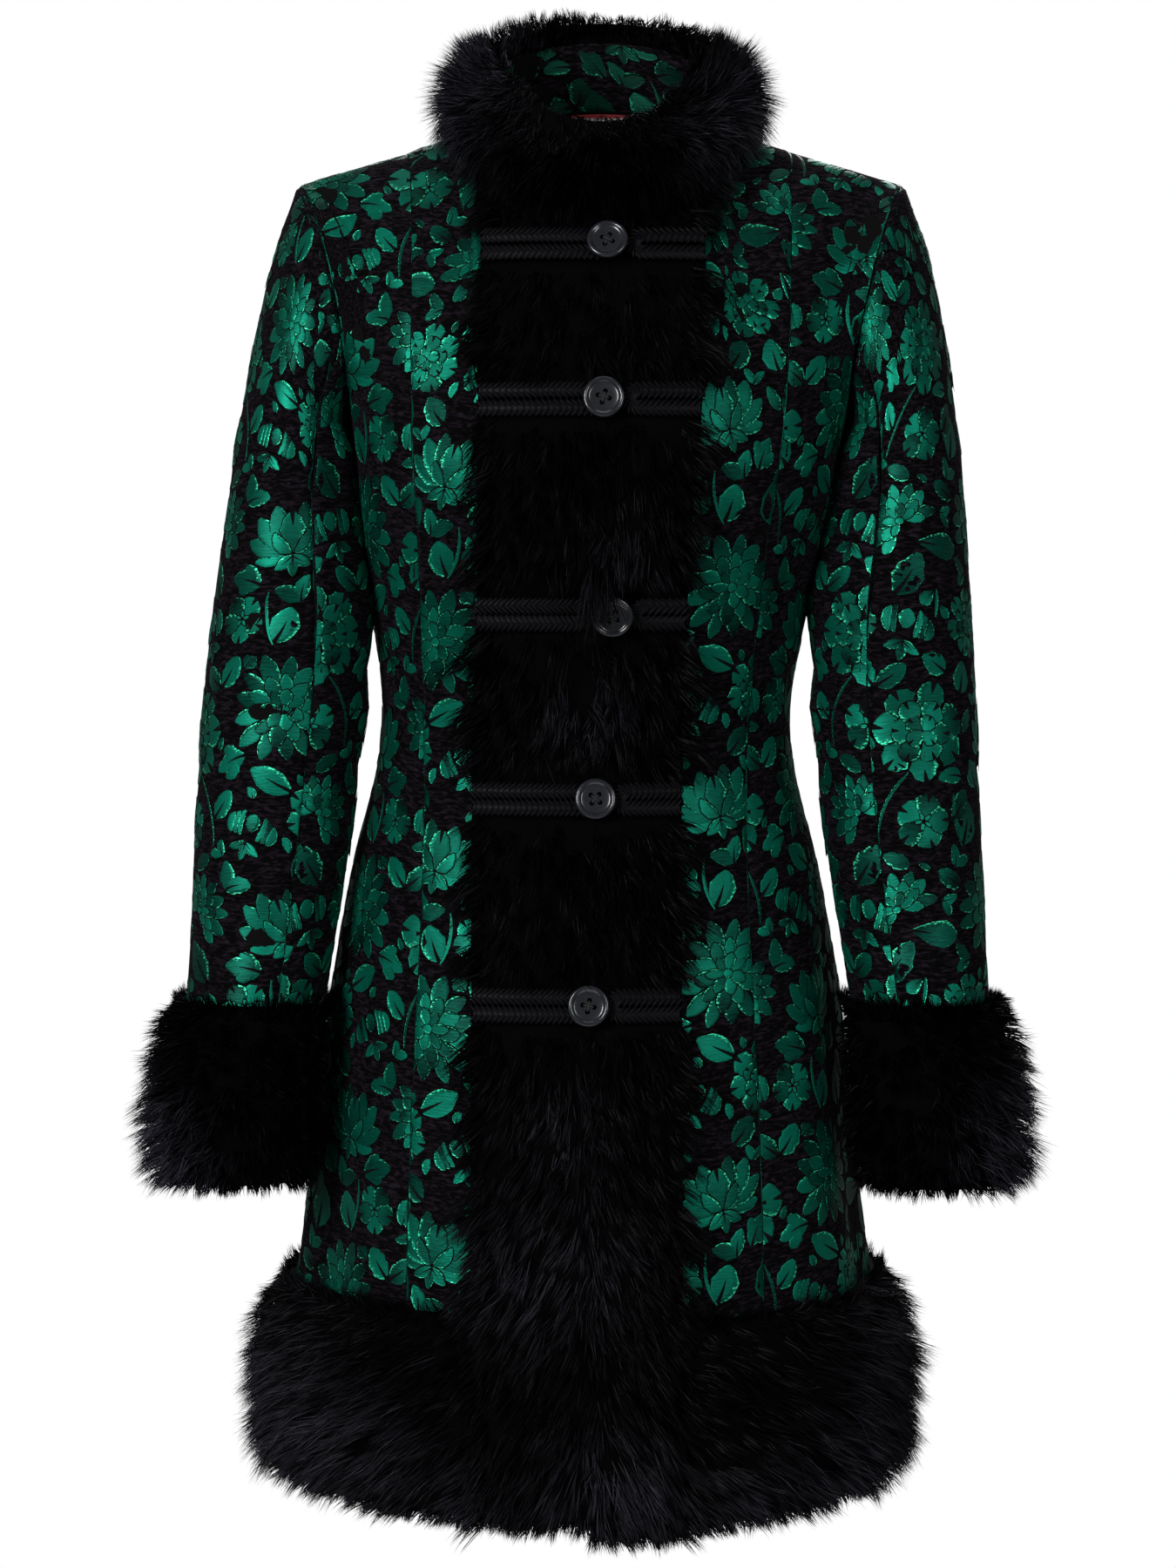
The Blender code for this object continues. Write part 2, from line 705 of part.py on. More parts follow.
def braid_rows(z, start_x, end_x, seat):
    # A braid folded in two, from its sewn end along the upper leg, round the fold and back below.
    heading = math.copysign(1.0, end_x - start_x)
    fold_x = end_x - heading * (BRAID_CENTRE + BRAID_WIDTH / 2)
    legs = [blend(start_x, fold_x, share) for share in (0.0, 0.22, 0.44, 0.66, 0.88)]
    plan = [(x, z + BRAID_CENTRE, 0.0, 1.0) for x in legs]
    for i in range(FOLD_CELLS + 1):
        turn = math.pi * i / FOLD_CELLS
        plan.append((fold_x + heading * BRAID_CENTRE * math.sin(turn), z + BRAID_CENTRE * math.cos(turn),
                     heading * math.sin(turn), math.cos(turn)))
    plan += [(x, z - BRAID_CENTRE, 0.0, -1.0) for x in legs[::-1]]
    rows = []
    for x, height, out_x, out_z in plan:
        edges = []
        for edge in (BRAID_WIDTH / 2, -BRAID_WIDTH / 2):
            edges.append(front_place(x + out_x * edge, height + out_z * edge, GROOVE_LIFT + seat)[0])
        rows.append(edges)
    return rows


def build_frog(number, frog):
    loop = braid_rows(frog.z, -BAND_RIGHT_X + BRAID_INSET, frog.loop_end_x, frog.loop_seat)
    tab = braid_rows(frog.z, BAND_LEFT_X - BRAID_INSET, frog.tab_end_x, frog.tab_seat)
    wall(f"frog_loop_{number}", loop, BRAID, BRAID_THICK, False, outward=True)
    wall(f"frog_tab_{number}", tab, BRAID, BRAID_THICK, True, outward=True)


def button_mesh():
    mesh = bpy.data.meshes.new("button")
    points = [(turn.radius * MM, 0.0, turn.height * MM) for turn in BUTTON_PROFILE]
    mesh.from_pydata(points, [(i, i + 1) for i in range(len(points) - 1)], [])
    return mesh


def hole_mesh():
    mesh = bpy.data.meshes.new("button_holes")
    shape = bmesh.new()
    for across in (-1, 1):
        for up in (-1, 1):
            made = bmesh.ops.create_cone(
                shape,
                cap_ends=True,
                segments=8,
                radius1=BUTTON_HOLE_RADIUS * MM,
                radius2=BUTTON_HOLE_RADIUS * MM,
                depth=20 * MM,
            )
            offset = Vector((across * BUTTON_HOLE_OFFSET, up * BUTTON_HOLE_OFFSET, 0)) * MM
            bmesh.ops.translate(shape, verts=made["verts"], vec=offset)
    shape.to_mesh(mesh)
    shape.free()
    return mesh


def build_button(number, frog):
    lift = GROOVE_LIFT + frog.loop_seat + BRAID_THICK + frog.button_seat
    back_point, out = front_place(frog.button_x, frog.z, lift)
    turn = out.to_track_quat("Z", "Y")
    button = add_object(f"button_{number}", button_mesh(), HORN)
    holes = bpy.data.objects.new(f"button_holes_{number}", hole_mesh())
    coat.objects.link(holes)
    holes.hide_render = True
    holes.display_type = "WIRE"
    for thing in (button, holes):
        thing.rotation_mode = "QUATERNION"
        thing.rotation_quaternion = turn
        thing.location = placed(back_point)
    spin = button.modifiers.new("turned", "SCREW")
    spin.steps = 20
    spin.render_steps = 20
    spin.use_merge_vertices = True
    spin.merge_threshold = 0.00005
    spin.use_normal_calculate = True
    cut = button.modifiers.new("holes", "BOOLEAN")
    cut.operation = "DIFFERENCE"
    cut.solver = "EXACT"
    cut.object = holes


# Label

def build_label():
    rows = []
    for rise in (1.0, 0.5, 0.0):
        row = []
        for share in (-1.0, -0.5, 0.0, 0.5, 1.0):
            x = share * LABEL_WIDTH / 2
            side = LEFT if x >= 0 else RIGHT
            angle = angle_of(BACK, abs(x), CHEST_Z)
            curve = chest_curve(BACK, angle)
            point = curve_point(curve, curve_share(curve, curve[3].z - 2.0 - LABEL_HEIGHT * rise))
            row.append(Vector((side * point.x, point.y, point.z)))
        rows.append(row)
    inside = moved_out(rows, CLOTH_WALL + LAID_GAP + 0.8, False)
    wall("neck_label", inside, LABEL, LABEL_THICK, False, outward=True)


# The coat

for old in list(bpy.data.objects):
    bpy.data.objects.remove(old, do_unlink=True)

coat = bpy.data.collections.new(COAT_NAME)
bpy.context.scene.collection.children.link(coat)

for wearer_side in (RIGHT, LEFT):
    build_body(wearer_side)
    build_sleeve(wearer_side)
    build_front_fur(wearer_side)
    build_cuff(wearer_side)
build_collar()
build_hem_fur()
for frog_number, frog_row in enumerate(FROGS, start=1):
    build_frog(frog_number, frog_row)
    build_button(frog_number, frog_row)
build_label()
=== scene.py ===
import math

import bmesh
import bpy
import numpy as np
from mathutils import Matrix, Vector


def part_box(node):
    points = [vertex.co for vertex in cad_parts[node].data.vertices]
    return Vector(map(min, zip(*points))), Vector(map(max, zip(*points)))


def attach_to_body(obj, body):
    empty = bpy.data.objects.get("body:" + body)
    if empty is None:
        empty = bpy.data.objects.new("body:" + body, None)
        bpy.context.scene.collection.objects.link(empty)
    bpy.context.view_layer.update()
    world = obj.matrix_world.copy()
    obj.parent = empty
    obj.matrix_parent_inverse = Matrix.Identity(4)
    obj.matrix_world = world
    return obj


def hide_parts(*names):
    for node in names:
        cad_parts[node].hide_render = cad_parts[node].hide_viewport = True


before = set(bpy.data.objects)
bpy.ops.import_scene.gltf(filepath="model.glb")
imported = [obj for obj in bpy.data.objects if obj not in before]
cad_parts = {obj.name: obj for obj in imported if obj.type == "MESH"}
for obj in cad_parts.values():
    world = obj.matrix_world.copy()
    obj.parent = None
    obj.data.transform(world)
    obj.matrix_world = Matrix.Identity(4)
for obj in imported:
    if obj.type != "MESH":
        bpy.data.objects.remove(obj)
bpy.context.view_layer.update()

# Fur-trimmed brocade coat: cloth, woven flowers, fur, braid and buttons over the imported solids.
# Sizes are millimetres in the solids' own frame and turn to metres where a mesh is made.
# Sides are the wearer's: left is +X and right is -X. The front faces -Y.
mm = 0.001
right, left = -1, 1
front, back = -1, 1
sideWords = {right: "right", left: "left"}
fullTurn = 2 * math.pi
dice = np.random.default_rng(20)
looks = {}


# View and light: a long lens a little above the hem's middle, soft boxes and a pale floor
studio = dict(
    cameraPlace=(-0.00825, -2.6, -0.245), cameraTilt=3.63, lens=94.36, sensor=36.0,
    floorZ=-1.16, floorReach=0.9, floorEdge=0.02, floorSteps=96, floorPatches=3.0, floorColour="#f2f2f2",
    backdropStrength=1.0, roomStrength=0.14,
    lights=[
        # name, place, aim, width, height, watts
        ("keyBox", (-1.7, -2.4, 0.60), (0.0, 0.0, -0.40), 0.8, 1.3, 82.0),
        ("fillBox", (1.7, -2.4, 0.30), (0.0, 0.0, -0.40), 0.8, 1.3, 27.0),
        ("topBox", (0.0, 0.2, 1.9), (0.0, 0.0, -0.30), 1.6, 1.2, 10.0),
        ("backBox", (0.3, 2.7, 0.90), (0.0, 0.0, -0.40), 1.4, 1.6, 45.0),
    ],
)


def linear(hexColour):
    channels = [int(hexColour[i:i + 2], 16) / 255 for i in (1, 3, 5)]
    return tuple(c / 12.92 if c <= 0.04045 else ((c + 0.055) / 1.055) ** 2.4 for c in channels) + (1.0,)


def setNode(tree, node, settings):
    # A setting is a property, a socket's value or hex colour, or the output that feeds the socket.
    for name, value in settings.items():
        if isinstance(value, bpy.types.NodeSocket):
            tree.links.new(value, node.inputs[name])
        elif isinstance(name, str) and hasattr(node, name):
            setattr(node, name, value)
        else:
            node.inputs[name].default_value = linear(value) if isinstance(value, str) else value
    return node


def addNode(tree, kind, settings, output=0):
    # The output is given back, ready to feed the next node. Sockets that share a name go by number: a Mix of
    # colours takes its share at 0 and the colours at 6 and 7, and gives their mixture at 2.
    return setNode(tree, tree.nodes.new("ShaderNode" + kind), settings).outputs[output]


def perMetre(across, up):
    # How many threads or ribs of these lengths go to a metre of flat cloth.
    return 1 / (across * mm), 1 / (up * mm), 1


def newMaterial(name):
    looks[name] = bpy.data.materials.new(name)
    looks[name].use_nodes = True
    tree = looks[name].node_tree
    return tree, tree.nodes["Principled BSDF"]


def linked(name, data):
    thing = bpy.data.objects.new(name, data)
    bpy.context.scene.collection.objects.link(thing)
    return thing


def meshOf(name, points, faces, look, uv=None, attributes=None):
    # Points are millimetres; faces all have the same number of corners.
    mesh = bpy.data.meshes.new(name)
    points = np.asarray(points, float).reshape(-1, 3)
    faces = np.asarray(faces, np.int32)
    mesh.vertices.add(len(points))
    mesh.vertices.foreach_set("co", (points * mm).ravel())
    mesh.loops.add(faces.size)
    mesh.loops.foreach_set("vertex_index", faces.ravel())
    mesh.polygons.add(len(faces))
    mesh.polygons.foreach_set("loop_start", np.arange(len(faces), dtype=np.int32) * faces.shape[1])
    mesh.update(calc_edges=True)
    mesh.polygons.foreach_set("use_smooth", np.ones(len(faces), bool))
    if uv is not None:
        layer = mesh.uv_layers.new(name="flat")
        layer.data.foreach_set("uv", (np.asarray(uv).reshape(-1, 2)[faces.ravel()] * mm).ravel())
    for key, values in (attributes or {}).items():
        attribute = mesh.attributes.new(key, "FLOAT", "POINT")
        attribute.data.foreach_set("value", np.asarray(values, np.float32).ravel())
    mesh.materials.append(looks[look])
    mesh.validate()
    return linked(name, mesh)


def attach(piece, node=None):
    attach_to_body(piece, "root")
    if node:
        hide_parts(node)


def buildStudio():
    scene = bpy.context.scene
    camera = linked("camera", bpy.data.cameras.new("camera"))
    camera.location = studio["cameraPlace"]
    camera.rotation_euler = (math.radians(90 - studio["cameraTilt"]), 0.0, 0.0)
    camera.data.lens = studio["lens"]
    camera.data.sensor_width = studio["sensor"]
    scene.camera = camera
    for name, place, aim, width, height, watts in studio["lights"]:
        light = bpy.data.lights.new(name, "AREA")
        light.shape = "RECTANGLE"
        light.size, light.size_y, light.energy = width, height, watts
        lamp = linked(name, light)
        lamp.location = place
        lamp.rotation_euler = (Vector(aim) - Vector(place)).to_track_quat("-Z", "Y").to_euler()
    # A white backdrop behind a room that gives only a little light of its own
    world = bpy.data.worlds.new("paleStudio")
    world.use_nodes = True
    tree = world.node_tree
    room = setNode(tree, tree.nodes["Background"], {"Color": "#ffffff", "Strength": studio["roomStrength"]})
    backdrop = addNode(tree, "Background", {"Color": "#ffffff", "Strength": studio["backdropStrength"]})
    seen = addNode(tree, "LightPath", {}, "Is Camera Ray")
    both = addNode(tree, "MixShader", {0: seen, 1: room.outputs[0], 2: backdrop})
    setNode(tree, tree.nodes["World Output"], {"Surface": both})
    scene.world = world
    scene.view_settings.view_transform = "Standard"
    # Painted studio floor: matt and even, with only a faint mottle.
    tree, shader = newMaterial("paleFloorPaint")
    mottle = addNode(tree, "TexNoise", {"Scale": studio["floorPatches"], "Detail": 2.0})
    paint = addNode(tree, "Mix", {"data_type": "RGBA", 0: mottle, 6: studio["floorColour"], 7: "#ffffff"}, 2)
    setNode(tree, shader, {"Roughness": 0.9, "Base Color": paint})
    reach, steps = studio["floorReach"], studio["floorSteps"]
    turn = np.linspace(0, fullTurn, steps, endpoint=False)
    rings = [np.stack([np.cos(turn) * wide, np.sin(turn) * wide, 0 * turn + studio["floorZ"] - drop], -1)
             for wide, drop in ((mm, 0.0), (reach, 0.0), (reach, studio["floorEdge"]))]
    floor = meshOf("floor", np.array(rings) / mm, gridFaces(len(rings), steps, True, True), "paleFloorPaint")


# Coat form, the same sizes and tables that the solids are worked out from
body = dict(
    z=[-870, -780, -720, -630, -542, -454, -405, -365, -322, -245, -200],
    halfWidth=[192, 186, 181.5, 170.5, 161.5, 146, 133, 129, 133.5, 148, 155],
    frontDepth=[162, 157, 151, 142, 132, 116, 106, 103, 109, 126, 130],
    backDepth=[156, 150, 144, 135, 126, 107, 93, 87, 91, 104, 109],
    seamX=[111.5, 110, 109, 107, 103, 99.5, 99.5, 100.5, 102.5, 108, 113],
    hemZ=-832.0, furTopZ=-722.0, chestZ=-245.0, yokeZ=-68.0, sideSeamY=3.0, roundness=2.2,
    hemDrop={right: 4.0, left: 11.0}, sideLift=6.0, hemFade=(60.0, 120.0), sway=(10.0, 80.0, 420.0),
    neckFade=200.0, evenFade=(20.0, 300.0),  # below the chest the columns leave the neck and spread evenly
    openingX=5.0, bandX={right: 68.0, left: 58.0}, bandColumn=3,
)
cloth = dict(
    wall=2.0, seamGap=0.02, laidGap=0.35, seamDip=0.7, seamDipWidth=2.0,
    creaseFade=40.0, creaseEnds=(0.08, 0.92), creaseRound=0.7,
)
neck = dict(half=78.0, frontDepth=80.0, backDepth=58.0, frontZ=-50.0, backZ=20.0, columnX=74.0, climb=1.4)
shoulder = dict(crowding=2.2, gap=0.1, startStep=6.0, startHandle=0.42, halvings=30)
arrivals = dict(
    station=[0, 0.7, 0.9, 1, 1.5, 2, 2.2, 2.5, 2.75, 3],
    out=[0, -0.02, -0.01, 0, 0.25, 0.65, 0.62, 0.35, 0.10, 0.04],
    back=[0.36, 0.55, 0.72, 1, 0.96, 0.74, 0.40, 0, -0.20, 0],
    up=[0.93, 0.83, 0.69, 0, -0.08, -0.20, 0.60, 0.93, 0.97, 1],
    reach=[0.30, 0.22, 0.16, 0.14, 0.25, 0.22, 0.22, 0.25, 0.28, 0.30],
)
armhole = dict(
    turn=[0, 22.5, 45, 67.5, 90, 112.5, 135, 157.5, 180],
    front=[58, 60.5, 63, 65.5, 68, 71.5, 76, 82.5, 90],
    back=[55, 57.5, 60, 62.5, 65, 69, 74.5, 82, 90],
    ring=(190.0, -34.0, 158.5, -182.0, 58.0, 3.0, 11.0), gap=0.4,
)
folds = [
    # side, face, angle, spread, zTop, zFull, lift
    (right, front, 63, 8, -400, -640, -4.0), (right, front, 78, 7, -420, -700, 3.0),
    (left, front, 60, 8, -420, -660, 3.0), (left, front, 75, 7, -400, -680, -4.0),
    (right, back, 24, 8, -380, -650, 4.5), (right, back, 46, 8, -400, -650, -4.5),
    (right, back, 68, 8, -400, -680, 4.0), (left, back, 20, 8, -390, -650, 4.0),
    (left, back, 43, 9, -380, -640, -5.0), (left, back, 66, 8, -410, -680, 4.5),
]
sleeve = dict(
    outerX=[191.6, 195, 204, 212.5, 220, 226.5, 232, 237, 241, 244, 246, 247.5, 249.5, 250.5, 251.5,
            252.5, 253],
    outerZ=[-36, -46, -71, -106, -150, -200, -248, -296, -344, -394, -450, -500, -540, -562, -600,
            -637, -656],
    innerX=[158.8, 160, 161, 160.5, 156.5, 151.5, 147.2, 139.8, 138.5, 142.5, 149.5, 157, 163.5, 166.5,
            170, 173, 174],
    innerZ=[-182, -187, -193, -202, -215, -233, -256, -298, -344, -394, -450, -500, -540, -562, -600,
            -637, -656],
    halfDepth=[58.5, 60, 62, 63, 62.5, 61, 60, 58, 56, 54, 52, 50, 48.5, 48, 47, 46.5, 46.5],
    centreY=[3, 3, 3, 1, -4, -10, -16, -21, -24, -28, -36, -45, -54, -58, -65, -71, -74],
    bow=[10.5, 10, 8, 5, 2, 0, 0, 0, 0, 0, 0, 0, 0, 0, 0, 0, 0],
    seamTurn=112.5, meanRadius=45, lastRing=15, cuffRing=12, sway=(8.3, 70.0, 440.0), tuck=(3.5, 2.5),
)
collar = dict(
    topHalf=69.0, topFront=77.0, topBack=53.0, topFrontZ=-14.0, topSideZ=38.0, topBackZ=60.0, lift=1.5,
)
frogs = [
    # z, buttonX, loopEndX, tabEndX, loopSeat, tabSeat, buttonSeat
    (-80, 4.0, 8.0, 13.0, 1.0, 0.6, 1.0),
    (-172, 3.0, 7.0, 12.0, 0.6, 0.6, 0.4),
    (-298, 13.0, 2.0, 22.0, 0.6, 0.6, 0.4),
    (-414, 6.0, 10.0, 15.0, 0.6, 0.6, 0.4),
    (-537, 2.0, 6.0, 11.0, 0.6, 0.6, 0.4),
]


def smoothBetween(keys, values, at):
    keys, values = np.asarray(keys, float), np.asarray(values, float)
    at = np.clip(at, keys[0], keys[-1])
    i = np.clip(np.searchsorted(keys, at) - 1, 0, len(keys) - 2)
    low = np.maximum(np.arange(len(keys)) - 1, 0)
    high = np.minimum(np.arange(len(keys)) + 1, len(keys) - 1)
    slope = (values[high] - values[low]) / (keys[high] - keys[low])
    span = keys[i + 1] - keys[i]
    t = (at - keys[i]) / span
    start = (1 + 2 * t) * (1 - t) ** 2 * values[i] + t * (1 - t) ** 2 * span * slope[i]
    return start + t * t * (3 - 2 * t) * values[i + 1] + t * t * (t - 1) * span * slope[i + 1]


def ease(t):
    t = np.clip(t, 0.0, 1.0)
    return t * t * (3 - 2 * t)


def blend(a, b, t):
    return a + (b - a) * t


def unit(vectors):
    return vectors / np.maximum(np.linalg.norm(vectors, axis=-1, keepdims=True), 1e-9)


def swayed(points, sway):
    amount, start, depth = sway
    moved = points.copy()
    moved[..., 0] -= amount * ease((-points[..., 2] - start) / (depth - start))
    return moved


def bodySize(z, column):
    return smoothBetween(body["z"], body[column], z)


def depthAt(face, z):
    return bodySize(z, "frontDepth" if face == front else "backDepth")


def angleOf(face, x, z):
    share = np.clip(np.abs(x) / bodySize(z, "halfWidth"), 0, 1) ** body["roundness"]
    deep = depthAt(face, z) * (1 - share) ** (1 / body["roundness"])
    return np.copysign(np.arctan2(np.abs(x), deep), x)


def radiusAt(face, angle, z):
    across = np.abs(np.sin(angle)) / bodySize(z, "halfWidth")
    deep = np.abs(np.cos(angle)) / depthAt(face, z)
    return (across ** body["roundness"] + deep ** body["roundness"]) ** (-1 / body["roundness"])


def foldLift(face, side, angle, z):
    lift = 0.0
    for foldSide, foldFace, at, spread, zTop, zFull, height in folds:
        if (foldSide, foldFace) == (side, face):
            near = np.exp(-((np.degrees(angle) - at) / spread) ** 2)
            lift = lift + height * near * ease((zTop - z) / (zTop - zFull))
    return lift


def ringPoint(face, side, angle, z):
    angle, z = np.broadcast_arrays(np.asarray(angle, float), np.asarray(z, float))
    drop = body["hemDrop"][side] if face == front else 0.0
    lift = body["sideLift"] * np.sin(angle) ** 2 - drop * np.cos(angle) ** 2
    above, over = body["hemFade"]
    z = z + lift * ease((body["furTopZ"] + above - z) / over)
    radius = radiusAt(face, angle, z) + foldLift(face, side, angle, z)
    y = body["sideSeamY"] + face * radius * np.cos(angle)
    return np.stack([side * radius * np.sin(angle), y, z], -1)


def neckPoint(turn):
    forward = np.cos(turn)
    depth = np.where(forward > 0, neck["frontDepth"], neck["backDepth"])
    height = np.where(forward > 0, neck["frontZ"], neck["backZ"])
    x = neck["half"] * np.sin(turn)
    return np.stack([x, body["sideSeamY"] - depth * forward, height * np.abs(forward) ** neck["climb"]], -1)


def ringAround(outerX, outerZ, innerX, innerZ, halfDepth, centreY, bow, turn):
    x = (outerX + innerX) / 2 + (outerX - innerX) / 2 * np.cos(turn) - bow * np.abs(np.sin(turn))
    z = (outerZ + innerZ) / 2 + (outerZ - innerZ) / 2 * np.cos(turn)
    return np.stack(np.broadcast_arrays(x, centreY - halfDepth * np.sin(turn), z), -1)


def topEdge(face, angle):
    # Where the columns of the left side end at the neck, the shoulder seam or the armhole.
    word = "front" if face == front else "back"
    neckAngle = float(angleOf(face, neck["columnX"], body["chestZ"]))
    endAngle = math.radians(armhole[word][0])
    size = np.abs(angle)
    across = radiusAt(face, size, body["chestZ"]) * np.sin(angle) / neck["columnX"]
    turn = np.arcsin(np.clip(across, -1, 1))
    neckEnd = neckPoint(turn if face == front else math.pi - turn)
    share = np.clip((size - neckAngle) / (endAngle - neckAngle), 0, 1) ** shoulder["crowding"]
    side = neckPoint(np.array(math.pi / 2))
    tip = ringAround(*armhole["ring"], 0.0)
    seamEnd = side + (tip - side) * share[:, None]
    seamEnd[:, 1] += face * shoulder["gap"] / 2
    armTurn = smoothBetween(armhole[word], armhole["turn"], np.degrees(size))
    armEnd = ringAround(*armhole["ring"], -face * np.radians(armTurn))
    armEnd[:, 0] -= armhole["gap"] / 2
    onNeck, onSeam = size <= neckAngle, size <= endAngle
    point = np.where(onNeck[:, None], neckEnd, np.where(onSeam[:, None], seamEnd, armEnd))
    station = np.where(onNeck, size / neckAngle, np.where(onSeam, 1 + share, 2 + armTurn / 180))
    outward, backward, upward, reach = (smoothBetween(arrivals["station"], arrivals[key], station)
                                        for key in ("out", "back", "up", "reach"))
    return point, unit(np.stack([outward, -face * backward, upward], -1)) * reach[:, None]


def chestCurve(face, angle):
    start = ringPoint(face, right, angle, body["chestZ"])
    above = ringPoint(face, right, angle, body["chestZ"] + shoulder["startStep"])
    start[:, 0] *= -1
    above[:, 0] *= -1
    end, arrive = topEdge(face, angle)
    reach = np.linalg.norm(end - start, axis=-1, keepdims=True)
    leave = unit(above - start)
    return start, start + leave * reach * shoulder["startHandle"], end - arrive * reach, end


def curvePoint(curve, t):
    a, b, c, d = curve
    return a * (1 - t) ** 3 + b * 3 * t * (1 - t) ** 2 + c * 3 * t * t * (1 - t) + d * t ** 3


def frontSurface(x, z):
    # Points of the centre fronts at places across and heights below the yoke.
    x, z = (np.asarray(v, float).ravel() for v in np.broadcast_arrays(x, z))
    points = np.zeros((len(x), 3))
    for side in (right, left):
        here = (x > 0) if side == left else (x <= 0)
        low = here & (z <= body["chestZ"])
        points[low] = ringPoint(front, side, angleOf(front, side * x[low], z[low]), z[low])
        high = here & (z > body["chestZ"])
        if high.any():
            curve = chestCurve(front, angleOf(front, side * x[high], body["chestZ"]))
            a, b = np.zeros(high.sum()), np.ones(high.sum())
            for _ in range(shoulder["halvings"]):
                middle = (a + b) / 2
                below = curvePoint(curve, middle[:, None])[:, 2] < z[high]
                a, b = np.where(below, middle, a), np.where(below, b, middle)
            points[high] = curvePoint(curve, a[:, None]) * np.array([side, 1, 1])
    return points


def frontPlace(x, z, lift):
    across = frontSurface(x + 1.0, z) - frontSurface(x - 1.0, z)
    up = frontSurface(x, z + 1.0) - frontSurface(x, z - 1.0)
    out = unit(np.cross(across, up))
    return swayed(frontSurface(x, z) + out * np.asarray(lift, float).reshape(-1, 1), body["sway"]), out


def gridNormals(grid, flip, closed=False):
    across = np.roll(grid, -1, 1) - np.roll(grid, 1, 1) if closed else np.gradient(grid, axis=1)
    out = unit(np.cross(across, np.gradient(grid, axis=0)))
    return -out if flip else out


def gridFaces(rows, columns, flip, closed=False, first=0):
    i, j = np.meshgrid(np.arange(rows - 1), np.arange(columns if closed else columns - 1), indexing="ij")
    k = (j + 1) % columns
    quads = np.stack([i * columns + j, i * columns + k, (i + 1) * columns + k, (i + 1) * columns + j], -1)
    quads = quads.reshape(-1, 4) + first
    return quads[:, ::-1] if flip else quads


def sampleGrid(values, row, column, closed=False):
    # Values between a grid's own points, at places counted in rows and columns.
    rows, columns = values.shape[:2]
    i = np.clip(np.floor(row).astype(int), 0, rows - 2)
    j = np.floor(column).astype(int)
    if not closed:
        j = np.clip(j, 0, columns - 2)
    up, along = row - i, column - j
    j, k = j % columns, (j + 1) % columns
    if values.ndim == 3:
        up, along = up[..., None], along[..., None]
    low = values[i, j] * (1 - along) + values[i, k] * along
    high = values[i + 1, j] * (1 - along) + values[i + 1, k] * along
    return low * (1 - up) + high * up


# Cut panels: angles of the columns at any height, from the centre line outwards
def between(columns, places):
    # Columns between the pattern's own ones, at places counted in whole columns.
    i = np.clip(np.floor(places).astype(int), 0, columns.shape[-1] - 2)
    f = places - i
    return columns[..., i] * (1 - f) + columns[..., i + 1] * f


def centreColumns(side, z):
    opening = body["openingX"] * side + cloth["seamGap"]
    band = body["bandX"][side]
    seam = bodySize(z, "seamX") - cloth["seamGap"] / 2
    reach = ease((z - body["chestZ"] + body["neckFade"]) / body["neckFade"])
    toNeck = blend(blend(band, seam, 0.5), neck["columnX"], reach)
    columns = [blend(opening, band, share) + 0 * z for share in (0, 0.33, 0.67, 1)]
    if side == left:
        columns.append(blend(band, toNeck, 0.5))
    return np.stack(columns + [toNeck, seam], -1)


def spreadColumns(firstAngle, corners, firstGap, z):
    half = bodySize(z, "halfWidth")
    start = firstAngle(z) + firstGap / half
    end = math.pi / 2 - cloth["seamGap"] / half
    chestStart = float(firstAngle(np.array(body["chestZ"])))
    below, over = body["evenFade"]
    evenness = ease((body["chestZ"] - below - z) / over)
    columns = []
    for i, corner in enumerate(corners):
        chestShare = (corner - chestStart) / (math.pi / 2 - chestStart)
        columns.append(blend(start, end, blend(chestShare, i / (len(corners) - 1), evenness)))
    return np.stack(columns, -1)


def sideColumns(z):
    def seam(height):
        return angleOf(front, bodySize(height, "seamX"), height)
    chest = float(seam(np.array(body["chestZ"])))
    corners = [blend(chest, math.radians(armhole["front"][0]), i / 3) for i in range(4)]
    corners += [math.radians(a) for a in armhole["front"][1:]]
    return spreadColumns(seam, corners, cloth["seamGap"] / 2, z)


def backColumns(z):
    neckAngle = float(angleOf(back, neck["columnX"], body["chestZ"]))
    corners = [neckAngle * i / 4 for i in range(4)]
    corners += [blend(neckAngle, math.radians(armhole["back"][0]), i / 3) for i in range(4)]
    corners += [math.radians(a) for a in armhole["back"][1:]]
    return spreadColumns(lambda height: 0.0 * height, corners, cloth["seamGap"], z)


def bodyAngles(part, side, z, places):
    z = np.asarray(z, float)
    if part == "centre":
        return angleOf(front, between(centreColumns(side, z), places), z[..., None])
    return between(sideColumns(z) if part == "side" else backColumns(z), places)


def bodyGrid(part, side, heights, shares, places):
    face = back if part == "back" else front
    heights = np.asarray(heights, float)
    low = ringPoint(face, side, bodyAngles(part, side, heights, places), heights[:, None])
    if not len(shares):
        return low
    curve = chestCurve(face, bodyAngles(part, side, np.array(body["chestZ"]), places))
    high = curvePoint(tuple(c[None] for c in curve), np.asarray(shares, float)[:, None, None])
    return np.concatenate([low, high * np.array([side, 1, 1])])


def columnsOf(part, side):
    return {"centre": 7 if side == left else 6, "side": 12, "back": 16}[part]


def edgedPlaces(count, columns, edge=0.12):
    # Even places with two more close to each edge, where the seam turns in.
    inner = np.linspace(0, columns - 1, count)[1:-1]
    near = np.array([0, edge * 0.4, edge])
    return np.concatenate([near, inner, (columns - 1 - near)[::-1]])


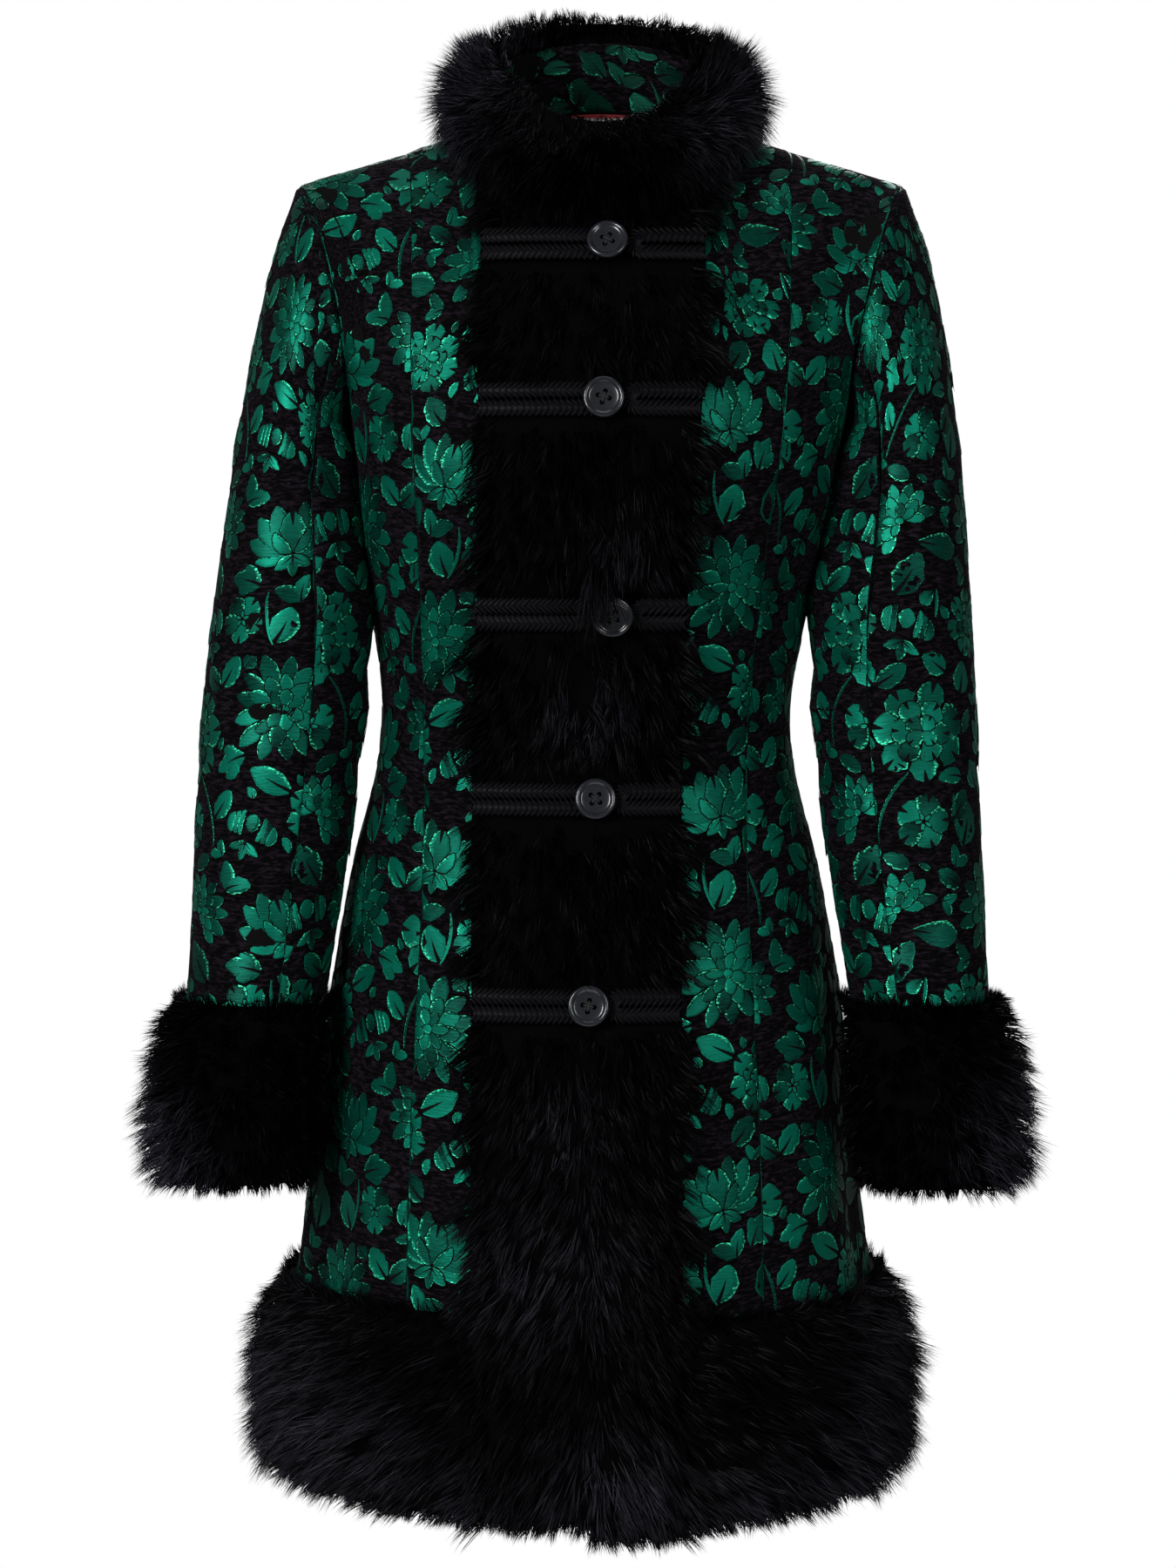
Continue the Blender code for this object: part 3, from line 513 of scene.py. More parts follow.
def sleeveGrid(side, rings, turns):
    names = ("outerX", "outerZ", "innerX", "innerZ", "halfDepth", "centreY", "bow")
    numbers = np.arange(len(sleeve["outerX"]))
    sizes = [smoothBetween(numbers, sleeve[name], rings)[:, None] for name in names]
    grid = ringAround(*sizes, np.radians(turns)[None, :])
    grid[..., 0] = side * (grid[..., 0] + armhole["gap"] / 2)
    return grid


def tucked(grid, flip):
    # One more row turned in under the armhole's edge, as a sewn sleeve head has.
    on, inward = sleeve["tuck"]
    row = grid[-1] + unit(grid[-1] - grid[-2]) * on - gridNormals(grid, flip)[-1] * inward
    return np.concatenate([grid, row[None]])


def collarGrid(rises, cells, gap):
    start = math.asin(body["openingX"] / neck["half"])
    trim = gap / 2 / neck["half"]
    turn = np.linspace(start + trim, start - trim + fullTurn, cells + 1)[None, :]
    forward = np.cos(turn)
    base = neckPoint(turn)
    depth = np.where(forward > 0, collar["topFront"], collar["topBack"])
    endZ = np.where(forward > 0, collar["topFrontZ"], collar["topBackZ"])
    height = blend(collar["topSideZ"], endZ, np.abs(forward) ** neck["climb"])
    top = np.stack([collar["topHalf"] * np.sin(turn), body["sideSeamY"] - depth * forward, height], -1)
    grid = base + (top - base) * np.asarray(rises, float)[:, None, None]
    grid[..., 2] += collar["lift"]
    return grid


# Creases of the cloth: flat places on a panel in mm from its first edge and its lower edge
creases = {
    # x0, y0, x1, y1, width, lift
    "front_right_centre": [
        (62, 470, 96, 446, 9, -1.6), (66, 452, 98, 430, 8, 1.2), (70, 418, 100, 420, 10, -1.2),
        (76, 640, 100, 600, 12, -1.4), (80, 330, 92, 230, 11, 1.2),
    ],
    "front_left_centre": [
        (56, 462, 92, 440, 9, -1.5), (58, 444, 92, 424, 8, 1.1), (66, 300, 84, 190, 11, 1.2),
        (70, 640, 98, 590, 12, -1.5),
    ],
    "front_right_side": [
        (6, 452, 46, 476, 8, -1.8), (4, 432, 50, 446, 8, 1.5), (10, 408, 48, 412, 9, -1.4),
        (30, 612, 62, 560, 10, 2.0), (18, 590, 50, 535, 11, -1.9), (40, 300, 52, 170, 14, 2.0),
        (16, 360, 24, 200, 12, -1.4),
    ],
    "front_left_side": [
        (4, 448, 44, 470, 8, -1.7), (6, 428, 48, 440, 8, 1.4), (8, 402, 46, 404, 9, -1.3),
        (28, 616, 60, 566, 10, 1.9), (16, 596, 50, 540, 11, -1.8), (36, 310, 48, 180, 14, 1.9),
        (62, 330, 74, 190, 12, -1.4),
    ],
    "back_right": [
        (8, 452, 70, 466, 9, -1.8), (6, 430, 84, 440, 9, 1.6), (10, 404, 74, 402, 10, -1.5),
        (60, 600, 120, 560, 12, 1.8), (40, 640, 110, 660, 14, -1.6),
    ],
    "back_left": [
        (6, 448, 66, 462, 9, -1.7), (8, 426, 80, 434, 9, 1.5), (10, 400, 78, 396, 10, -1.5),
        (62, 606, 118, 570, 12, 1.7), (44, 650, 104, 664, 14, -1.6),
    ],
    "sleeve_right_upper": [
        (150, 330, 205, 352, 9, -2.4), (142, 306, 204, 318, 8, 2.0), (150, 282, 206, 280, 9, -2.2),
        (160, 258, 204, 244, 9, 1.7), (60, 250, 120, 236, 12, -1.4), (70, 470, 130, 430, 14, 1.5),
        (150, 150, 200, 138, 10, -1.6), (150, 128, 204, 112, 10, 1.4), (20, 320, 70, 300, 12, -1.3),
    ],
    "sleeve_left_upper": [
        (150, 334, 206, 356, 9, -2.4), (144, 310, 204, 322, 8, 2.1), (148, 284, 206, 284, 9, -2.1),
        (158, 256, 204, 240, 9, 1.7), (64, 256, 124, 240, 12, -1.4), (66, 466, 128, 424, 14, 1.5),
        (148, 146, 200, 134, 10, -1.5), (20, 326, 72, 304, 12, -1.2),
    ],
    # The first four of each under sleeve bulge towards the body and close the armpit.
    "sleeve_right_under": [
        (4, 446, 96, 446, 24, 10.0), (4, 496, 96, 496, 16, 16.0), (4, 398, 96, 398, 42, 6.5),
        (4, 348, 96, 348, 16, 2.5),
        (6, 300, 90, 306, 9, -2.2), (8, 278, 92, 280, 9, 1.9), (10, 252, 88, 246, 9, -1.8),
    ],
    "sleeve_left_under": [
        (4, 446, 96, 446, 24, 10.0), (4, 496, 96, 496, 16, 19.0), (4, 398, 96, 398, 42, 8.0),
        (4, 350, 96, 350, 20, 4.5),
        (6, 302, 90, 308, 9, -2.2), (8, 280, 92, 284, 9, 1.9), (10, 254, 88, 250, 9, -1.8),
    ],
}


def flatPlaces(grid):
    # Cloth laid flat: across each row from its first column, and up each column from the lowest row.
    acrossStep = np.linalg.norm(np.diff(grid, axis=1), axis=-1)
    upStep = np.linalg.norm(np.diff(grid, axis=0), axis=-1)
    across = np.concatenate([np.zeros((len(grid), 1)), np.cumsum(acrossStep, 1)], 1)
    up = np.concatenate([np.zeros((1, grid.shape[1])), np.cumsum(upStep, 0)])
    return across, up


def creased(name, grid, out):
    across, up = flatPlaces(grid)
    lift = np.zeros(across.shape)
    for x0, y0, x1, y1, width, height in creases[name]:
        run = np.array([x1 - x0, y1 - y0], float)
        place = np.stack([across - x0, up - y0], -1)
        along = np.clip((place @ run) / (run @ run), 0, 1)
        gap = np.linalg.norm(place - along[..., None] * run, axis=-1)
        along = np.sin(math.pi * np.clip(along, *cloth["creaseEnds"])) ** cloth["creaseRound"]
        lift += height * np.exp(-(gap / width) ** 2) * along
    # No crease reaches the shoulder, the neck or the armhole edge.
    return grid + out * (lift * ease((up[-1:] - up) / cloth["creaseFade"]))[..., None]


def seamTurned(grid, out, firstSeam):
    # Cloth dips where it turns into a seam; the opening's edge has none.
    across = flatPlaces(grid)[0]
    dip = np.exp(-((across[:, -1:] - across) / cloth["seamDipWidth"]) ** 2)
    if firstSeam:
        dip = np.exp(-(across / cloth["seamDipWidth"]) ** 2) + dip
    return grid - out * (dip * cloth["seamDip"])[..., None]


# Black chenille weft on a ribbed ground: dull, with short wavy ridges across the cloth and a plum cast.
def chenilleMaterial(name, dark, pale):
    weave = dict(ribPitch=2.0, ribRun=7.0, tuftPitch=4.0)  # ribs of 1.5 mm, drawn coarser so that they show
    tree, shader = newMaterial(name)
    flat = addNode(tree, "UVMap", {"uv_map": "flat"})
    ribSize = perMetre(weave["ribRun"], weave["ribPitch"])
    ribPlace = addNode(tree, "Mapping", {"Scale": ribSize, "Vector": flat})
    ribs = addNode(tree, "TexNoise", {"Scale": 1.0, "Detail": 2.0, "Roughness": 0.55, "Distortion": 0.9,
                                      "Vector": ribPlace})
    tuftSize = perMetre(weave["tuftPitch"], weave["tuftPitch"])
    tuftPlace = addNode(tree, "Mapping", {"Scale": tuftSize, "Vector": flat})
    tufts = addNode(tree, "TexNoise", {"Scale": 1.0, "Detail": 3.0, "Vector": tuftPlace})
    contrast = addNode(tree, "MapRange", {"From Min": 0.46, "From Max": 0.66, "Value": ribs})
    ridges = addNode(tree, "Math", {"operation": "MULTIPLY", 0: contrast, 1: tufts})
    setNode(tree, shader, {
        "Roughness": 0.9, "Specular IOR Level": 0.05,
        "Sheen Weight": 0.07, "Sheen Roughness": 0.4, "Sheen Tint": "#8a7a8e",
        "Base Color": addNode(tree, "Mix", {"data_type": "RGBA", 0: ridges, 6: dark, 7: pale}, 2),
        "Normal": addNode(tree, "Bump", {"Strength": 0.9, "Distance": 0.0012, "Height": ridges}),
    })


weaveMarks = ("tone", "rim", "binding")


# Emerald satin floats: a metallic weft that flares where a leaf turns to the light, pillowed inside its
# outline, with painted highlights as pale broken glints along its edge and black lines where one petal lies
# over another.
def satinMaterial(name, dark, bright, pale):
    weave = dict(threadPitch=1.1, floatRun=7.0, glintPitch=1.3, glintRun=2.2)  # drawn coarser so that they show
    tree, shader = newMaterial(name)
    tone, rim, binding = (addNode(tree, "Attribute", {"attribute_name": mark}, "Fac") for mark in weaveMarks)
    flat = addNode(tree, "UVMap", {"uv_map": "flat"})
    floatSize = perMetre(weave["floatRun"], weave["threadPitch"])
    floatPlace = addNode(tree, "Mapping", {"Scale": floatSize, "Vector": flat})
    threads = addNode(tree, "TexNoise", {"Scale": 1.0, "Detail": 2.0, "Roughness": 0.6, "Vector": floatPlace})
    glintSize = perMetre(weave["glintRun"], weave["glintPitch"])
    glintPlace = addNode(tree, "Mapping", {"Scale": glintSize, "Vector": flat})
    ends = addNode(tree, "TexNoise", {"Scale": 1.0, "Detail": 1.0, "Vector": glintPlace})
    depth = addNode(tree, "Math", {"operation": "MULTIPLY_ADD", "use_clamp": True,
                                   0: threads, 1: 0.55, 2: tone})
    # Painted highlight: pale glints along each leaf's edges, broken by noise, one edge stronger than the
    # other.
    edge = addNode(tree, "Math", {"operation": "MULTIPLY", 0: rim, 1: ends})
    glintShare = addNode(tree, "MapRange", {"From Min": 0.42, "From Max": 0.56, "Value": edge})
    green = addNode(tree, "Mix", {"data_type": "RGBA", 0: depth, 6: dark, 7: bright}, 2)
    edged = addNode(tree, "Mix", {"data_type": "RGBA", 0: glintShare, 6: green, 7: pale}, 2)
    pillow = addNode(tree, "MapRange", {"interpolation_type": "SMOOTHSTEP", "From Min": 0.5, "From Max": 1.0,
                                        "To Min": 1.0, "To Max": 0.0, "Value": rim})
    height = addNode(tree, "Math", {"operation": "MULTIPLY_ADD", 0: threads, 1: 0.45, 2: pillow})
    setNode(tree, shader, {
        "Anisotropic": 0.3, "Specular IOR Level": 0.1,
        "Base Color": addNode(tree, "Mix", {"data_type": "RGBA", 0: binding, 6: edged, 7: "#040304"}, 2),
        "Metallic": addNode(tree, "MapRange", {"To Min": 0.7, "To Max": 0.0, "Value": binding}),
        "Roughness": addNode(tree, "MapRange", {"To Min": 0.46, "To Max": 0.9, "Value": binding}),
        "Normal": addNode(tree, "Bump", {"Strength": 0.45, "Distance": 0.0008, "Height": height}),
        "Tangent": addNode(tree, "Tangent", {"direction_type": "UV_MAP", "uv_map": "flat"}),
    })


# Woven flowers: one repeat of common leaves and blossoms, set out here and woven in half-drop columns
repeat = dict(
    width=140.0, height=240.0, gap=0.9, cell=0.5, sample=0.4, tones=(-0.12, 0.58), shades=(-0.28, 0.28),
    stations=8, bendFrom=0.35, leafLift=0.2, lineLift=0.15, slitLift=0.3, step=0.14, binding=0.7,
    edge=0.6, margin=4.0, still=0.01, insideShare=0.3, leastArea=0.04, longest=26.0, rims=(1.0, 0.0, 0.72),
    tips=(0.015, 0.985), leastHalf=0.10, puffEnds=(0.06, 0.94), slitTaper=0.7, slitHalf=0.08, slitSteps=40,
    ruffles=(40, 13, 30, 7),
)
leafShapes = {
    # widest shifts the broadest place towards the tip, round fills the outline, notch is a slit's length
    # from the base, or from the tip below zero, slit is its width, puff is in mm, ruffle waves the outline
    "leaf": dict(widest=0.82, round=0.56, notch=0.62, slit=0.16, puff=0.16, ruffle=0.16),
    "plain": dict(widest=0.95, round=0.52, notch=0.0, slit=0.0, puff=0.18, ruffle=0.18),
    "drop": dict(widest=1.55, round=0.56, notch=0.45, slit=0.12, puff=0.16, ruffle=0.08),
    "petal": dict(widest=1.5, round=0.46, notch=-0.34, slit=0.20, puff=0.16, ruffle=0.18),
    "ray": dict(widest=1.2, round=0.62, notch=0.0, slit=0.0, puff=0.16, ruffle=0.12),
    "fold": dict(widest=1.0, round=0.58, notch=0.0, slit=0.0, puff=0.16, ruffle=0.16),
    "stem": dict(widest=0.95, round=0.32, notch=0.0, slit=0.0, puff=0.16, ruffle=0.12),
}
# Columns of a leaf's row
(atX, atY, atHeading, atLength, atWidth, atBend, atWidest, atRound, atNotch, atSlit, atPuff, atRuffle, atTone,
 atShade, atLevel) = range(15)


def leaf(kind, x, y, heading, length, width, bend=0.0, level=0, tone=None):
    tone = dice.uniform(*repeat["tones"]) if tone is None else tone
    shade = dice.uniform(*repeat["shades"])
    return [x, y, heading, length, width, bend, *leafShapes[kind].values(), tone, shade, level]


def leafPlan(rows, lengths, acrossPlaces, grow=0.0):
    # Flat points of leaves, at shares of the length and of the half width; grow widens the outline all round.
    def column(at):
        return rows[:, at:at + 1]
    t = lengths[None, :]
    turn = column(atHeading) + column(atBend) * (t - repeat["bendFrom"])
    step = np.diff(lengths, prepend=lengths[0])[None, :] * (column(atLength) + 2 * grow)
    middle = (turn + np.concatenate([turn[:, :1], turn[:, :-1]], 1)) / 2
    spine = np.stack([column(atX) - grow * np.cos(turn[:, :1]) + np.cumsum(step * np.cos(middle), 1),
                      column(atY) - grow * np.sin(turn[:, :1]) + np.cumsum(step * np.sin(middle), 1)], -1)
    profile = np.sin(math.pi * np.clip(t, *repeat["tips"]) ** column(atWidest)) ** column(atRound)
    ownWave, wave, ownRipple, ripple = repeat["ruffles"]
    waves = np.sin(column(atShade) * ownWave + t * wave) * np.sin(column(atTone) * ownRipple + t * ripple)
    half = column(atWidth) / 2 * (1 + column(atRuffle) * waves) + grow
    half = half * np.maximum(profile, repeat["leastHalf"])
    normal = np.stack([-np.sin(turn), np.cos(turn)], -1)
    reach = half[:, :, None] * acrossPlaces[None, None, :]
    return spine[:, :, None] + normal[:, :, None] * reach[..., None]


class Repeat:
    # One repeat, with a map of the places taken, so that dark ground shows round every flower and leaf.
    def __init__(self):
        self.rows = []
        self.columns = int(repeat["width"] / repeat["cell"])
        self.lines = int(repeat["height"] / repeat["cell"])
        self.taken = np.zeros((self.lines, self.columns), bool)

    def cells(self, row, grow):
        lengths = np.linspace(0, 1, max(10, int(row[atLength] / repeat["sample"])))
        places = np.linspace(-1, 1, max(7, int(row[atWidth] / repeat["sample"])))
        points = leafPlan(np.array([row]), lengths, places, grow)
        x, y = points[..., 0].ravel(), points[..., 1].ravel()
        y = y - np.floor(x / repeat["width"]) * repeat["height"] / 2
        i = np.floor((y % repeat["height"]) / repeat["cell"]).astype(int) % self.lines
        j = np.floor((x % repeat["width"]) / repeat["cell"]).astype(int) % self.columns
        return i, j

    def add(self, leaves, whole=False):
        # Leaves of one flower may lie over each other; whole means all of them or none.
        free = [row for row in leaves if not self.taken[self.cells(row, 0.0)].any()]
        if whole and len(free) < len(leaves):
            return
        for row in free:
            self.taken[self.cells(row, repeat["gap"])] = True
        self.rows += free


def away(x, y, reach, turn):
    return x + reach * math.cos(turn), y + reach * math.sin(turn)


def blossom(x, y, size, facing, spread, kind, rings):
    # Rings of petals from the outside in, each lying over the last, every second petal over its neighbours.
    leaves = []
    for ring, (count, start, length, width) in enumerate(rings):
        for order in (0, 1):
            for i in range(order, count, 2):
                turn = facing + spread * ((i + 0.5 * (ring % 2) + 0.25) / count - 0.5)
                leaves.append(leaf(
                    kind, *away(x, y, size * start, turn), turn + dice.uniform(-0.1, 0.1),
                    size * length * dice.uniform(0.88, 1.08), size * width * dice.uniform(0.9, 1.12),
                    dice.uniform(-0.35, 0.35), 2 * ring + order))
    return leaves


def chrysanthemum(x, y, size, facing=math.pi / 2, spread=fullTurn):
    rings = [(round(count * spread / fullTurn), start, length, width) for count, start, length, width in
             ((13, 0.30, 0.72, 0.31), (10, 0.15, 0.54, 0.27), (7, 0.04, 0.38, 0.21))]
    heart = leaf("plain", x - size * 0.09, y, 0.0, size * 0.18, size * 0.17, 0.0, 6, 0.7)
    return blossom(x, y, size, facing, spread, "ray", rings) + [heart]


def peony(x, y, size, facing=0.3):
    rings = [(7, 0.36, 0.64, 0.62), (6, 0.18, 0.48, 0.46), (4, 0.02, 0.34, 0.34)]
    return blossom(x, y, size, facing, fullTurn, "petal", rings)


def lotus(x, y, size, facing):
    # Seen from the side: outer petals lean wide, the middle ones stand in front of them, leaves cup the base.
    petals = ((1.75, 0.78, 0.30), (1.25, 0.98, 0.38), (0.78, 1.05, 0.42), (0.36, 1.02, 0.40))
    leaves = [leaf("ray", x, y, facing + side * angle, size * length, size * width, -side * 0.55, level)
              for level, (angle, length, width) in enumerate(petals) for side in (-1, 1)]
    leaves.append(leaf("petal", x, y, facing, size * 0.80, size * 0.44, 0.0, 5))
    leaves += [leaf("fold", x - side * size * 0.04, y - size * 0.02, facing + side * 0.75, size * 0.55,
                    size * 0.24, -side * 0.9, 6) for side in (-1, 1)]
    leaves += [leaf("leaf", x, y - size * 0.08, facing + math.pi + side * 0.9, size * 0.42, size * 0.22,
                    side * 0.4, 7) for side in (-1, 0, 1)]
    return leaves


def rosebud(x, y, size, facing):
    # Nested bent folds round a small heart, with sepals below.
    leaves = [leaf("plain", x, y, facing, size * 0.62, size * 0.50, 0.0, 0)]
    for i, reach in enumerate((0.30, 0.48, 0.66)):
        for side in (-1, 1):
            foldX = x + side * size * reach * math.sin(facing) - math.cos(facing) * size * 0.22
            foldY = y - side * size * reach * math.cos(facing) - math.sin(facing) * size * 0.22
            leaves.append(leaf("fold", foldX, foldY, facing - side * 0.25, size * (0.92 - 0.10 * i),
                               size * 0.30, side * 1.15, i + 1))
    base = x - math.cos(facing) * size * 0.42, y - math.sin(facing) * size * 0.42
    leaves += [leaf("leaf", *base, facing + math.pi + side * 1.0, size * 0.62, size * 0.30, side * 0.5, 4)
               for side in (-1, 0, 1)]
    return leaves


def fivePetal(x, y, size, facing):
    leaves = []
    for kind, turned, start, length, width, tone in (("petal", 0.0, 0.10, 0.90, 0.92, None),
                                                     ("plain", 0.5, 0.08, 0.24, 0.13, 0.75)):
        for i in range(5):
            turn = facing + fullTurn * (i + turned) / 5
            leaves.append(leaf(kind, *away(x, y, size * start, turn), turn, size * length, size * width, 0.0,
                               3 if turned else i % 3, tone))
    return leaves


def spray(x, y, heading, bend, count, size, kind="leaf"):
    # A curved stem with leaves in pairs and one at its tip.
    step = size * 0.74
    leaves = [leaf("stem", x, y, heading, step * count * 0.96, 2.1, bend)]
    for i in range(count + 1):
        share = i / count
        turn = heading + bend * (share - repeat["bendFrom"])
        for side in ((0,) if i == count else (-1, 1)):
            lean = turn + side * dice.uniform(0.75, 1.0)
            long = size * dice.uniform(0.85, 1.1) * (1.0 - 0.18 * share)
            leaves.append(leaf(kind, *away(x, y, 2.2, lean), lean, long, long * dice.uniform(0.64, 0.82),
                               side * -0.35))
        x, y = away(x, y, step, turn)
    return leaves


def trefoil(x, y, heading, size):
    return [leaf("leaf", *away(x, y, 1.8, heading + side), heading + side, size * (1.0 - 0.14 * abs(side)),
                 size * dice.uniform(0.62, 0.80), -0.4 * side) for side in (-1.05, 0.0, 1.05)]


def lobed(x, y, heading, size):
    # One leaf with two side lobes that run into it, all of one tone.
    tone = dice.uniform(*repeat["tones"])
    leaves = [leaf("leaf", x, y, heading, size, size * dice.uniform(0.50, 0.62), dice.uniform(-0.6, 0.6),
                   0, tone)]
    for side in (-1, 1):
        start = away(x, y, size * dice.uniform(0.16, 0.34), heading)
        leaves.append(leaf("plain", *start, heading + side * dice.uniform(0.7, 1.05),
                           size * dice.uniform(0.48, 0.62), size * dice.uniform(0.34, 0.46), -0.7 * side,
                           0, tone))
    return leaves


def paired(x, y, heading, size):
    return [leaf("leaf" if side < 0 else "plain", x, y, heading + side * 0.62,
                 size * dice.uniform(0.85, 1.05), size * dice.uniform(0.50, 0.62), side * 0.7)
            for side in (-1, 1)]


upright = math.pi / 2
# Each flower or spray with its place in the repeat, its size and its turn
motifs = [
    (chrysanthemum, 38.0, 42.0, 33.0), (peony, 104.0, 148.0, 30.0), (lotus, 34.0, 140.0, 31.0, upright + 0.2),
    (chrysanthemum, 112.0, 38.0, 25.0, upright - 0.6, 4.4), (peony, 62.0, 216.0, 22.0, 0.9),
    (fivePetal, 100.0, 92.0, 17.0, 0.5), (fivePetal, 6.0, 98.0, 15.0, 0.9),
    (rosebud, 114.0, 212.0, 20.0, upright + 0.3), (rosebud, 16.0, 206.0, 18.0, upright - 0.4),
    (spray, 72.0, 18.0, 1.5, -0.7, 3, 24.0), (spray, 30.0, 82.0, 1.9, -0.8, 2, 24.0),
    (spray, 128.0, 78.0, 1.8, 0.9, 3, 23.0), (spray, 64.0, 138.0, 1.1, -0.9, 3, 24.0),
    (spray, 88.0, 184.0, 0.8, 0.9, 2, 22.0), (spray, 40.0, 176.0, 2.0, 0.8, 2, 23.0),
    (spray, 134.0, 176.0, 1.4, -0.9, 3, 22.0), (spray, 2.0, 40.0, 1.6, 0.7, 3, 23.0),
    (spray, 70.0, 78.0, 1.2, 0.6, 2, 24.0), (spray, 76.0, 110.0, -upright, 0.3, 2, 12.0, "drop"),
    (spray, 122.0, 118.0, -upright, 0.3, 2, 12.0, "drop"),
    (spray, 92.0, 236.0, -upright, 0.3, 2, 12.0, "drop"),
]
# Leaves in threes, in pairs and alone fill the ground from large to small; small ones leave patches open
filling = dict(
    sizes=(26, 23, 20, 17, 14, 11, 8), tries=400, fewTries=120, fewBelow=12, openBelow=20, alone=9,
    patchWide=70, patchHigh=80, patchStart=0.7, patchWander=120, openFrom=0.02,
    lean=1.3, leanAcross=0.07, leanUp=0.05, ownLean=0.7,
)


def drawRepeat():
    pattern = Repeat()
    for flower, *place in motifs:
        pattern.add(flower(*place))
    for size in filling["sizes"]:
        for i in range(filling["tries"] if size > filling["fewBelow"] else filling["fewTries"]):
            x, y = dice.uniform(0, repeat["width"]), dice.uniform(0, repeat["height"])
            wander = math.sin(y * fullTurn / filling["patchWander"])
            patch = math.sin(x * fullTurn / filling["patchWide"] + wander)
            patch *= math.sin(y * fullTurn / filling["patchHigh"] + filling["patchStart"])
            if patch > filling["openFrom"] and size < filling["openBelow"]:
                continue
            wave = math.sin(x * filling["leanAcross"] + y * filling["leanUp"])
            heading = upright + filling["lean"] * wave + dice.uniform(-filling["ownLean"], filling["ownLean"])
            if i % 4 < 3 and size > filling["alone"]:
                pattern.add((trefoil, lobed, paired)[i % 4](x, y, heading, size), True)
            elif i % 4 == 3 or size < filling["alone"]:
                kind = ("leaf", "drop", "fold")[i % 3]
                pattern.add([leaf(kind, x, y, heading, size * dice.uniform(0.9, 1.2),
                                  size * dice.uniform(0.48, 0.70), dice.uniform(-1.2, 1.2))])
    print("repeat drawn: %d leaves and petals, %.2f of the ground covered"
          % (len(pattern.rows), pattern.taken.mean()))
    return np.array(pattern.rows)


# Flat nets of the panels: a flat place finds its point, its outward direction and the width of its row
net = dict(spacing=2.5)


def alongKeys(at, keys, values):
    return np.stack([np.interp(at, keys, values[:, k]) for k in range(values.shape[1])], -1)


def evenPanel(grid, out):
    across = flatPlaces(grid)[0]
    width = across[:, -1]
    places = np.arange(0, width.max() + net["spacing"], net["spacing"])
    values = np.concatenate([grid, out], -1)
    rows = np.stack([alongKeys(places, across[i], values[i]) for i in range(len(grid))])
    rows = np.concatenate([rows, np.broadcast_to(width[:, None, None], rows.shape[:2] + (1,))], -1)
    climb = flatPlaces(rows[..., :3])[1]
    heights = np.arange(0, climb[-1].max() + net["spacing"], net["spacing"])
    points = np.stack([alongKeys(heights, climb[:, j], rows[:, j]) for j in range(len(places))], 1)
    return dict(points=points, top=climb[-1], places=places)


def levelPanel(grid, out):
    # The panel cut at even heights, and over the shoulder at even distances from the chest: rows that
    # bend down along the armhole would squeeze the pattern there.
    values = np.concatenate([grid, out], -1)
    up = flatPlaces(grid)[1]
    chest = int(np.argmin(np.abs(grid[:, 0, 2] - body["chestZ"])))
    level = grid[..., 2].copy()
    level[chest:] = level[chest] + up[chest:] - up[chest]
    ends = level[-1]
    peak = int(np.argmax(ends))
    heights = np.arange(0, up[-1, 0] + ends[peak] - ends[0], net["spacing"])
    lines = []
    for height in np.interp(heights, up[:, 0], level[:, 0]) + np.maximum(heights - up[-1, 0], 0):
        line = []
        for j in range(grid.shape[1]):
            if height > ends[j] and j > peak:
                drop = (ends[j - 1] - height) / max(ends[j - 1] - ends[j], 1e-6)
                line.append(blend(values[-1, j - 1], values[-1, j], min(max(drop, 0), 1)))
                break
            line.append(alongKeys(height, level[:, j], values[:, j]))
        lines.append(np.array(line))
    runs = [flatPlaces(line[None, :, :3])[0][0] for line in lines]
    widths = np.array([run[-1] for run in runs])
    places = np.arange(0, widths.max() + net["spacing"], net["spacing"])
    points = np.stack([alongKeys(places, run, line) for run, line in zip(runs, lines)])
    points = np.concatenate([points, np.broadcast_to(widths[:, None, None], points.shape[:2] + (1,))], -1)
    top = np.where(widths[:, None] >= places[None], heights[:, None], 0.0).max(0)
    return dict(points=points, top=top, places=places)


def onPanel(panel, flat):
    points = panel["points"]
    row = np.clip(flat[..., 1] / net["spacing"], 0, points.shape[0] - 1.001)
    column = np.clip(flat[..., 0] / net["spacing"], 0, points.shape[1] - 1.001)
    return sampleGrid(points, row, column)


def repeatsOver(panel, shift, lowX, lowY):
    reach = panel["places"][-1], panel["top"].max()
    pitch = repeat["width"], repeat["height"]

    def counts(start, at):
        return range(math.floor(-start / pitch[at]) - 1, math.ceil((reach[at] - start) / pitch[at]) + 1)
    rows = []
    for k in counts(shift[0], 0):
        drop = k * pitch[1] / 2 + shift[1]
        for m in counts(drop, 1):
            more = flowers.copy()
            more[:, atX] += k * pitch[0] + shift[0]
            more[:, atY] += m * pitch[1] + drop
            rows.append(more)
    rows = np.concatenate(rows)
    x = rows[:, atX] + np.cos(rows[:, atHeading]) * rows[:, atLength] / 2
    y = rows[:, atY] + np.sin(rows[:, atHeading]) * rows[:, atLength] / 2
    margin = repeat["margin"]
    return rows[(x > max(lowX, -margin)) & (x < reach[0] + margin)
                & (y > max(lowY, -margin)) & (y < reach[1] + margin)]


